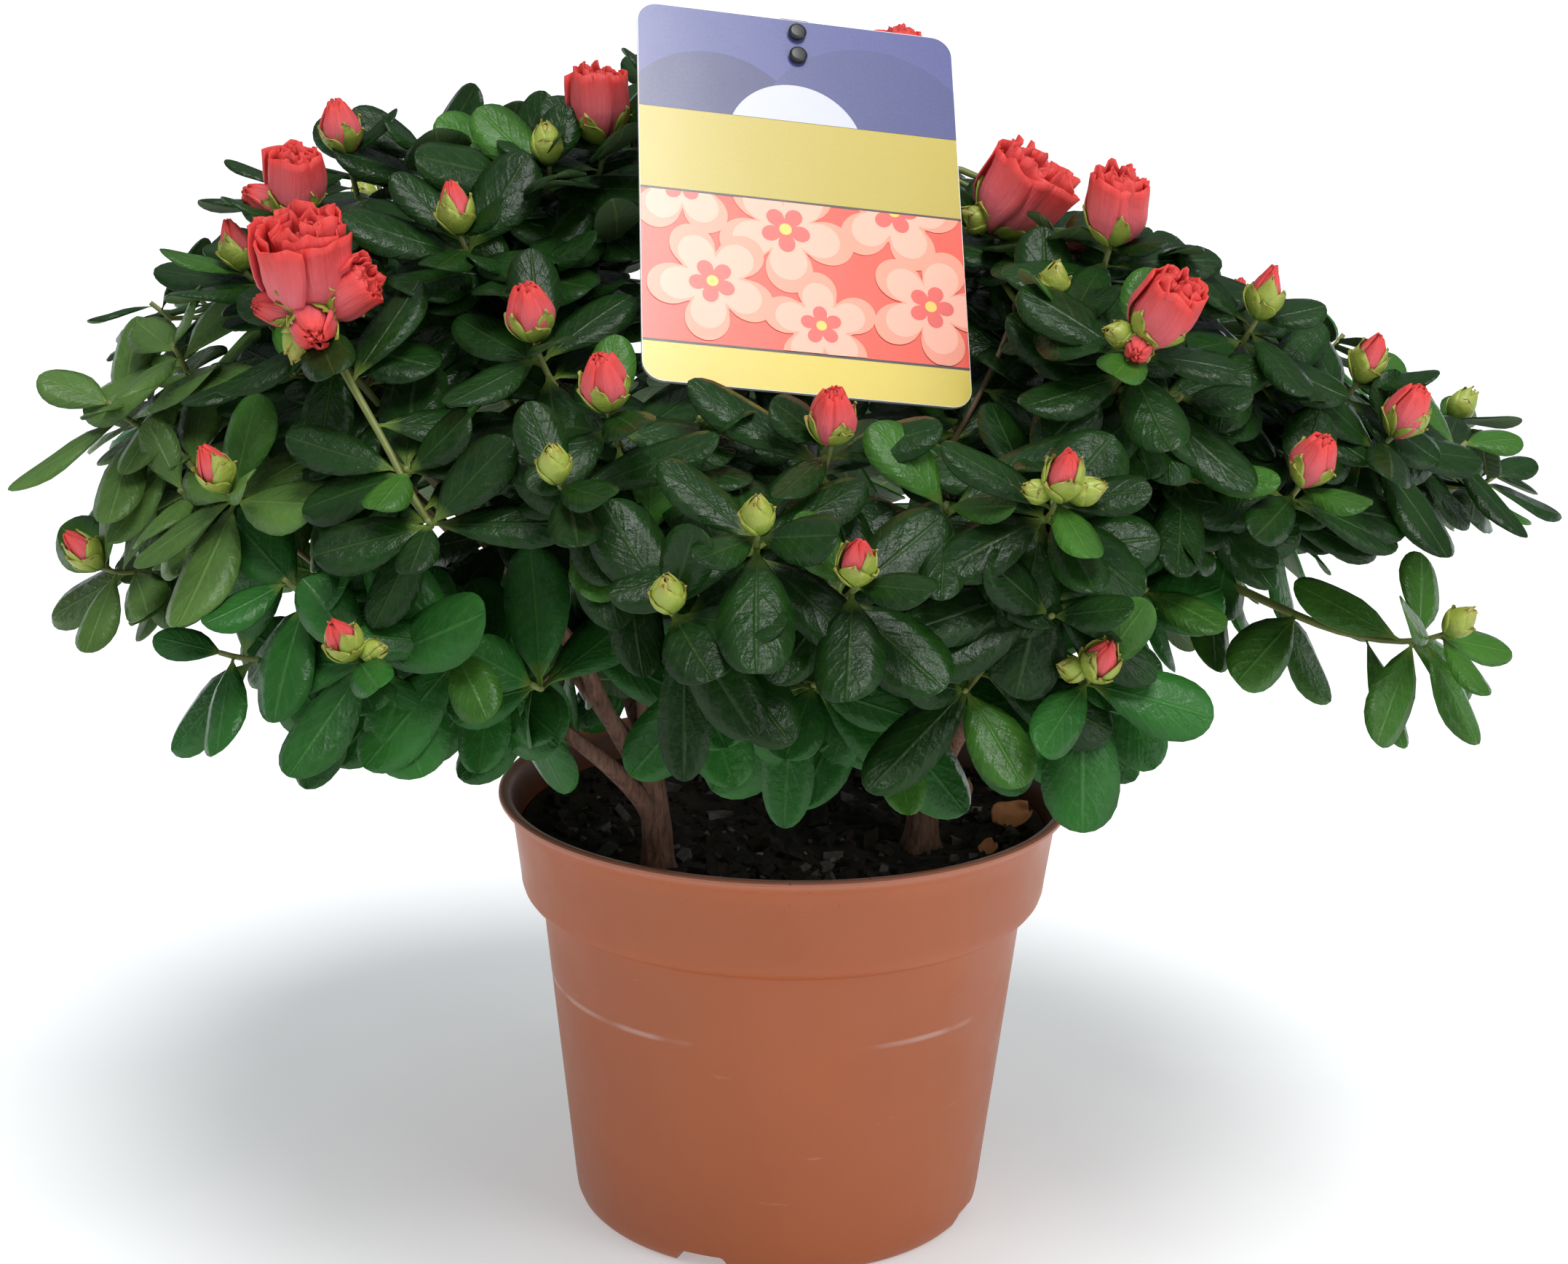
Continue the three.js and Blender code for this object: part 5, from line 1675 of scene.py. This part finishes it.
def wrapped_sheet(length, radius, whorl, turn, pointed, draw, rows=9, columns=12):
    """A petal or scale wrapped round the bud's axis, with crumpled margins, as a closed thin sheet."""
    _, wide, tall, half_span, closing, ruffle = whorl
    v, u = np.meshgrid(np.linspace(0, 1, rows), np.linspace(-1, 1, columns), indexing="ij")
    share = v * tall
    body = 0.26 + 0.74 * np.sin(np.minimum(1, share / 0.46) * math.pi / 2) ** 0.8
    narrow = 1 - closing * np.clip((share - 0.4) / 0.6, 0, 1) ** 1.6
    phase = [6.3 * draw() for _ in range(6)]
    if pointed:
        outline = np.clip(1 - v**3.2, 0.0, 1) ** 0.6
        crumple, lap, notch = 0.0, 0.05, 0.0
    else:
        outline = np.clip(0.66 + 0.62 * v - 0.3 * v**4, 0, 1)
        lap, notch = 0.10, (0.03 + 0.07 * draw()) * np.exp(-(((u - 0.9 * draw() + 0.45) / 0.2) ** 2)) * v**6
        crumple = (
            0.07 * folds(0.9 * u + 0.12 * v + phase[2]) + 0.045 * folds(1.9 * u - 0.3 * v + phase[4])
            + 0.02 * np.sin(11 * u + 9 * v + phase[5])
        ) * (0.2 + v) + 0.05 * (1 - np.abs(u)) * v
    outline = np.maximum(outline, 0.06)
    spin = math.radians(half_span) * u * outline + turn
    wave = ruffle * (folds(0.8 * u + phase[0]) * v**2.4 + 0.5 * folds(1.6 * u + phase[1]) * v**4)
    spread = radius * wide * (body * narrow + lap * u + crumple) + radius * wave
    spread = np.maximum(spread, radius * 0.015)
    lift = 0.25 * ruffle * np.sin(5 * u + phase[3]) * v**3
    height = length * (share * (1 - 0.08 * u**2 * v) - notch + lift)
    grid = np.stack([spread * np.cos(spin), spread * np.sin(spin), height], -1)
    return shell(grid, 0.0003 if pointed else 0.0004)


def bud_sheets(stage, length, radius, draw):
    """Petals and scales of one bud about its own Z axis."""
    petals, scales = [], []
    first = 2 * math.pi * draw()
    for level, whorl in enumerate(PETAL_WHORLS[stage]):
        for k in range(whorl[0]):
            turn = first + 2 * math.pi * k / whorl[0] + 0.9 * level + 0.5 * (draw() - 0.5)
            size = 0.9 + 0.12 * draw() if stage in ("half", "open") else 1.0
            wide = radius * (1.5 - 0.5 * size)
            petals.append(wrapped_sheet(length * size, wide, whorl, turn, False, draw))
    for level, (count, wide, tall, span, closing) in enumerate(SCALE_WHORLS[stage]):
        for k in range(count):
            turn = first + 2 * math.pi * k / count + 1.1 * level
            height = min(1, tall * (0.94 + 0.12 * draw()))
            whole = span == 180
            whorl = (count, wide, height, span, closing, SCALE_RUFFLE)
            scales.append(wrapped_sheet(length, radius, whorl, turn, not whole, draw, 8, 12 if whole else 8))
    return petals, scales


def bud_list(shoots, draw):
    """Every bud and flower: where it sits, which way it points, its stage, its size and its spray."""
    buds = []
    for shoot in shoots:
        if shoot.bud == "none":
            continue
        name = shoot.spray["name"]
        place_key = (name, shoot.number) if shoot.order < 2 else None
        axis = (growth_at(shoot.tip) + 0.45 * UP).normalized()
        if place_key in LEANING:
            axis = Vector(LEANING[place_key]).normalized()
        elif not shoot.spray["facing"]:
            axis = (axis + 0.3 * Vector((draw() - 0.5, draw() - 0.5, draw() - 0.5))).normalized()
        buds.append((shoot.tip, axis, shoot.bud, 0.96 + 0.08 * draw(), name))
        for stage, leaning, size in CLUSTERS.get(place_key, ()):
            away = Vector(leaning).normalized()
            buds.append((shoot.tip + away * 0.002, away, stage, size, name))
    return buds


def note_blooms(shoots):
    """Remembers where the facing flowers are, so that no leaf hides them."""
    bloom_windows.clear()
    for shoot in shoots:
        if shoot.spray["facing"] and shoot.bud not in ("none", "green"):
            length, width = BLOOMS[shoot.bud]
            middle = (shoot.tip + growth_at(shoot.tip) * MM * length * 0.5) / MM
            bloom_windows.append((*middle, width * 0.42))


class AZALEA_OT_blossom(bpy.types.Operator):
    """Set the buds and half-open flowers on their shoots"""

    bl_idname = "azalea.blossom"
    bl_label = "Build Buds and Flowers"

    def execute(self, context):
        settings = context.scene.azalea_blossom
        shoots = crown_shoots(context.scene.azalea_leaves)
        draw = seeded(881)
        petals, scales = [], []
        sprays = set()
        for place_at, axis, stage, size, spray in bud_list(shoots, draw):
            length, width = (MM * value * size for value in BLOOMS[stage])
            made = bud_sheets(stage, length, width / 2, draw)
            spin = np.array(axis.to_track_quat("Z", "Y").to_matrix())
            sprays.add(spray)
            for kind, sheets in zip((petals, scales), made):
                for points, quads, mapping in sheets:
                    kind.append((points @ spin.T + np.array(place_at), quads, mapping))
        for name, parts, material, slot in (
            ("petals", petals, petal_skin(settings.base, settings.petal), "petal"),
            ("bud_scales", scales, bud_skin(settings.scale), "bud_green"),
        ):
            finish_piece(array_piece(name, *joined(parts)), material, slot, nodes_of(sprays))
        return {"FINISHED"}


# Plant card and its stake

# Print, in metres: its inset from the card's edge, how far down the gold band starts and ends, the height of
# the foot strip, the width and colour of the dark lines, and how much paler than the band the foot strip is
PRINT_INSET = 0.00012
BAND_FROM_TOP = (0.0255, 0.0455)
FOOT_STRIP = 0.0095
LINE_WIDTH = 0.0006
LINE_COLOR = (0.05, 0.035, 0.03)
# The foot strip is paler partly in its print and partly as painted light against the shade of the leaves over
# it
FOOT_TONE = 1.42
# Soft discs in the top panel: x, radius, tone of its ground
DISCS = [(-0.019, 0.021, 0.6), (0.016, 0.026, 0.82), (-0.001, 0.015, 1.35)]
# Blossoms in the flower panel: x, z, size, turn
BLOSSOMS = [
    (-0.026, 0.002, 0.0135, 0.3), (-0.004, -0.007, 0.0150, 1.0), (0.020, 0.0, 0.0145, 0.1),
    (-0.020, -0.021, 0.0140, 0.8), (0.003, -0.029, 0.0125, 0.4), (0.027, -0.022, 0.0140, 1.2),
]
# Layers of a blossom from the lowest up: name, share of its size, colour
BLOSSOM_LAYERS = [
    ("blossom", 1.0, (0.86, 0.30, 0.20)), ("blush", 0.8, (0.90, 0.42, 0.31)),
    ("throat", 0.36, (0.76, 0.10, 0.08)), ("eye", 0.09, (0.85, 0.55, 0.10)),
]
# Thickness of one printed layer
LAYER = 0.00002


def card_sheet(name, settings, inset=0.0, segments=10):
    """A flat sheet with rounded corners in the card's own XZ plane, facing -Y."""
    bpy.ops.object.select_all(action="DESELECT")
    bpy.ops.mesh.primitive_plane_add(size=1, location=(0, 0, 0), rotation=(math.pi / 2, 0, 0))
    sheet = bpy.context.object
    sheet.name = name
    sheet.scale = (settings.width - 2 * inset, settings.height - 2 * inset, 1)
    settle()
    bpy.ops.object.mode_set(mode="EDIT")
    bpy.ops.mesh.select_all(action="SELECT")
    bpy.ops.mesh.bevel(offset=settings.corner - inset, segments=segments, affect="VERTICES")
    bpy.ops.object.mode_set(mode="OBJECT")
    return sheet


def trim(sheet, limits):
    """Keeps the part of a flat sheet between the limits (left, right, bottom, top) of the card's plane."""
    left, right, bottom, top = limits
    select_only(sheet)
    bpy.ops.object.mode_set(mode="EDIT")
    for point, normal in (((left, 0, 0), (-1, 0, 0)), ((right, 0, 0), (1, 0, 0)),
                          ((0, 0, bottom), (0, 0, -1)), ((0, 0, top), (0, 0, 1))):
        bpy.ops.mesh.select_all(action="SELECT")
        bpy.ops.mesh.bisect(plane_co=point, plane_no=normal, clear_outer=True)
    bpy.ops.object.mode_set(mode="OBJECT")


def lay_trimmed(sheet, limits, color, layer):
    """Lays a flat sheet on the card, trimmed to its panel and a hair in front of what is printed under it.

    A sheet that lies wholly past its panel's edge is left out.
    """
    trim(sheet, limits)
    if not sheet.data.polygons:
        bpy.data.objects.remove(sheet)
        return
    sheet.location.y = -bpy.context.scene.azalea_card.thick / 2 - LAYER - LAYER * layer
    into_place(sheet)
    finish_piece(sheet, print_ink(sheet.name + "_ink", color), "card", ["card"])


def into_place(piece):
    """Moves a piece made in the card's own plane to the card's place."""
    piece.matrix_basis = card_matrix() @ piece.matrix_basis
    select_only(piece)
    settle()


def outline_sheet(name, outline):
    """A flat sheet in the card's plane from a closed outline of (x, z), facing -Y."""
    mesh = bpy.data.meshes.new(name)
    mesh.from_pydata([(x, 0, z) for x, z in outline], [], [tuple(range(len(outline)))])
    sheet = bpy.data.objects.new(name, mesh)
    bpy.context.scene.collection.objects.link(sheet)
    return sheet


def blossom_outline(x, z, size, turn, petals=5):
    """Outline of a simple round-petalled flower."""
    points = []
    for i in range(100):
        angle = 2 * math.pi * i / 100
        wave = abs(math.cos(petals * (angle - turn) / 2))
        radius = size * (0.38 + 0.62 * wave**0.55)
        points.append((x + radius * math.cos(angle), z + radius * math.sin(angle)))
    return points


def disc_outline(x, z, radius):
    angles = [2 * math.pi * i / 72 for i in range(72)]
    return [(x + radius * math.cos(angle), z + radius * math.sin(angle)) for angle in angles]


class AZALEA_OT_card(bpy.types.Operator):
    """Cut the plant card with its stud holes and lay the printed panels on it"""

    bl_idname = "azalea.card"
    bl_label = "Build Card"

    def execute(self, context):
        settings = context.scene.azalea_card
        w, h = settings.width / 2, settings.height / 2
        sheet = card_sheet("card_sheet", settings)
        modified(sheet, "SOLIDIFY", thickness=settings.thick, offset=0)
        for height in stud_heights(settings):
            cut_away(sheet, rod_across(STUD["hole"] * MM, -0.002, 0.002, height))
        select_only(sheet)
        bpy.ops.object.shade_smooth_by_angle(angle=math.radians(30))
        into_place(sheet)
        finish_piece(sheet, print_ink("card_stock", (0.80, 0.79, 0.76), 0.3), "card", ["card"])
        band_top, band_foot = (h - down for down in BAND_FROM_TOP)
        foot = -h + FOOT_STRIP
        whole = (-w + PRINT_INSET, w - PRINT_INSET)
        for name, low, high, color, layer in (
            ("card_sky", band_top, h, settings.sky, 0),
            ("card_band", band_foot, band_top, settings.gold, 0),
            ("card_flowers", foot, band_foot, settings.coral, 0),
            # The foot strip's ink holds painted light against the leaves' shade as well as its paler print
            ("card_foot", -h, foot, shaded(settings.gold, FOOT_TONE), 0),
            ("card_band_line", band_foot, band_foot + LINE_WIDTH, LINE_COLOR, 1),
            ("card_foot_line", foot - LINE_WIDTH, foot, LINE_COLOR, 1),
        ):
            lay_trimmed(card_sheet(name, settings, PRINT_INSET), (*whole, low, high), color, layer)
        layer = 2
        for i, (x, radius, tone) in enumerate(DISCS):
            tint = shaded(settings.sky, tone) if tone < 1 else tinted(settings.sky, tone - 0.85)
            disc = outline_sheet(f"card_arc_{i + 1}", disc_outline(x, band_top - 0.006, radius))
            lay_trimmed(disc, (*whole, band_top, h - PRINT_INSET), tint, layer)
            layer += 1
        for i, (x, z, size, turn) in enumerate(BLOSSOMS):
            for above, (kind, share, color) in enumerate(BLOSSOM_LAYERS):
                place_at = (x, z, size * share)
                outline = disc_outline(*place_at) if kind == "eye" else blossom_outline(*place_at, turn)
                sheet = outline_sheet(f"card_{kind}_{i + 1}", outline)
                lay_trimmed(sheet, (*whole, foot, band_foot), color, layer + above)
            layer += 1
        return {"FINISHED"}


def stud_heights(settings):
    top = settings.height / 2 - STUD["from_top"] * MM
    return top, top - STUD["spacing"] * MM


def rod_across(radius, start, end, height, vertices=32):
    """A short round bar through the card at a height of its plane."""
    bpy.ops.object.select_all(action="DESELECT")
    bpy.ops.mesh.primitive_cylinder_add(
        vertices=vertices, radius=radius, depth=end - start, location=(0, (start + end) / 2, height),
        rotation=(math.pi / 2, 0, 0),
    )
    settle()
    return bpy.context.object


class AZALEA_OT_stake(bpy.types.Operator):
    """Mould the black stake with its pad and the two studs that hold the card"""

    bl_idname = "azalea.stake"
    bl_label = "Build Stake"

    def execute(self, context):
        settings = context.scene.azalea_card
        material = black_plastic()
        front = -settings.thick / 2
        heads = []
        for height in stud_heights(settings):
            start = front - STUD["rise"] * MM - 0.0003
            stud = rod_across(STUD["radius"] * MM, start, front - 0.0002, height)
            modified(stud, "BEVEL", width=0.0009, segments=5)
            shaft = rod_across(0.001, front - 0.0004, -front + 0.0006, height, 16)
            heads.extend([stud, shaft])
        middle = sum(stud_heights(settings)) / 2
        bpy.ops.object.select_all(action="DESELECT")
        bpy.ops.mesh.primitive_cube_add(size=1, location=(0, -front + 0.0011, middle))
        pad = bpy.context.object
        pad.scale = PAD_SIZE
        settle()
        modified(pad, "BEVEL", width=0.0006, segments=3)
        bpy.ops.object.select_all(action="DESELECT")
        for piece in [*heads, pad]:
            piece.select_set(True)
        bpy.context.view_layer.objects.active = pad
        bpy.ops.object.join()
        into_place(pad)
        pad.name = "stake_head"
        bpy.ops.object.shade_smooth_by_angle(angle=math.radians(40))
        finish_piece(pad, material, "stake", ["card_stake"])
        place_at = card_matrix()
        top = place_at @ Vector((0, -front + 0.0022, middle - 0.0055))
        foot = MM * Vector((*STAKE_FOOT, SOIL_LEVEL - 3))
        into_head = (place_at.to_3x3() @ UP).normalized()
        points = bend(foot, UP, top, into_head, 40)
        radii = [ROD_RADIUS] * 38 + [0.0014, 0.0011]
        rod = array_piece("stake_rod", *tube(points, radii, 16))
        finish_piece(rod, material, "stake", ["card_stake"])
        return {"FINISHED"}


# Stage

# Soft lights that look at the crown, in metres and watts: name, place, size, power
LIGHTS = (
    ("left_light", (-1.3, -1.3, 0.9), (0.9, 1.2), 3.6),
    ("right_light", (1.4, -1.1, 0.9), (0.9, 1.2), 11),
)
CROWN_MIDDLE = (0, 0, 0.16)
CEILING = {"strength": 2.7, "spread": 30, "towards": (-0.14, 0.40, -1)}


def softbox(name, place_at, size, power):
    """A soft light that looks at the middle of the crown."""
    light = bpy.data.lights.new(name, "AREA")
    light.shape = "RECTANGLE"
    light.size, light.size_y = size
    light.energy = power
    lamp = bpy.data.objects.new(name, light)
    lamp.location = place_at
    lamp.rotation_euler = (Vector(CROWN_MIDDLE) - Vector(place_at)).to_track_quat("-Z", "Y").to_euler()
    bpy.context.scene.collection.objects.link(lamp)


class AZALEA_OT_stage(bpy.types.Operator):
    """Lay the pale floor, hang the soft lights and set up the camera"""

    bl_idname = "azalea.stage"
    bl_label = "Build Stage"

    def execute(self, context):
        settings = context.scene.azalea_stage
        bpy.ops.object.select_all(action="DESELECT")
        bpy.ops.mesh.primitive_circle_add(vertices=96, radius=9, fill_type="NGON", location=(0, 0, 0))
        floor = bpy.context.object
        floor.name = "studio_floor"
        floor.data.materials.append(floor_paint(settings.floor))
        world = bpy.data.worlds.new("studio")
        world.use_nodes = True
        sky = world.node_tree.nodes["Background"]
        sky.inputs["Color"].default_value = (0.88, 0.95, 1.0, 1)
        tree = world.node_tree
        upwards = height_of(tree, node(tree, "ShaderNodeTexCoord").outputs[0])
        overhead = ramp(tree, upwards, 0.35, 0.95, 0.15, 0.6)
        backdrop = ramp(tree, upwards, 0.07, 0.13, 0.95, 0.15)
        tree.links.new(maths(tree, "MAXIMUM", overhead, backdrop), sky.inputs["Strength"])
        context.scene.world = world
        for light in LIGHTS:
            softbox(*light)
        sun = bpy.data.lights.new("ceiling_light", "SUN")
        sun.energy = CEILING["strength"]
        sun.angle = math.radians(CEILING["spread"])
        lamp = bpy.data.objects.new("ceiling_light", sun)
        lamp.rotation_euler = Vector(CEILING["towards"]).to_track_quat("-Z", "Y").to_euler()
        context.scene.collection.objects.link(lamp)
        context.scene.view_settings.view_transform = "Standard"
        lens = bpy.data.cameras.new("photo_camera")
        lens.sensor_width = 36
        lens.lens = settings.lens
        lens.clip_start = 0.05
        lens.clip_end = 50
        camera = bpy.data.objects.new("photo_camera", lens)
        looking = Vector((0, math.cos(settings.pitch), -math.sin(settings.pitch)))
        level = Vector((1, 0, 0))
        upright = level.cross(looking)
        right = level * math.cos(settings.roll) + upright * math.sin(settings.roll)
        up = upright * math.cos(settings.roll) - level * math.sin(settings.roll)
        turn = Matrix((right, up, -looking)).transposed()
        camera.matrix_world = Matrix.Translation(EYE) @ turn.to_4x4()
        context.scene.collection.objects.link(camera)
        context.scene.camera = camera
        return {"FINISHED"}


class AZALEA_PT_panel(bpy.types.Panel):
    """Sizes, colours and build steps of the azalea"""

    bl_label = "Potted Azalea"
    bl_idname = "AZALEA_PT_panel"
    bl_space_type = "VIEW_3D"
    bl_region_type = "UI"
    bl_category = "Azalea"

    def draw(self, context):
        for key, group in SETTINGS.items():
            box = self.layout.box()
            for name in group.__annotations__:
                box.prop(getattr(context.scene, key), name)
        for step in OPERATORS:
            self.layout.operator(step.bl_idname)


OPERATORS = (
    AZALEA_OT_stage,
    AZALEA_OT_pot,
    AZALEA_OT_soil,
    AZALEA_OT_wood,
    AZALEA_OT_foliage,
    AZALEA_OT_blossom,
    AZALEA_OT_card,
    AZALEA_OT_stake,
)
CLASSES = (*SETTINGS.values(), *OPERATORS, AZALEA_PT_panel)


def register():
    for cls in CLASSES:
        bpy.utils.register_class(cls)
    for key, group in SETTINGS.items():
        setattr(bpy.types.Scene, key, PointerProperty(type=group))


def unregister():
    for key in SETTINGS:
        delattr(bpy.types.Scene, key)
    for cls in reversed(CLASSES):
        bpy.utils.unregister_class(cls)


def main():
    """Builds every piece in order."""
    register()
    bpy.ops.azalea.stage()
    bpy.ops.azalea.pot()
    bpy.ops.azalea.soil()
    bpy.ops.azalea.wood()
    bpy.ops.azalea.foliage()
    bpy.ops.azalea.blossom()
    bpy.ops.azalea.card()
    bpy.ops.azalea.stake()


if __name__ == "__main__":
    main()
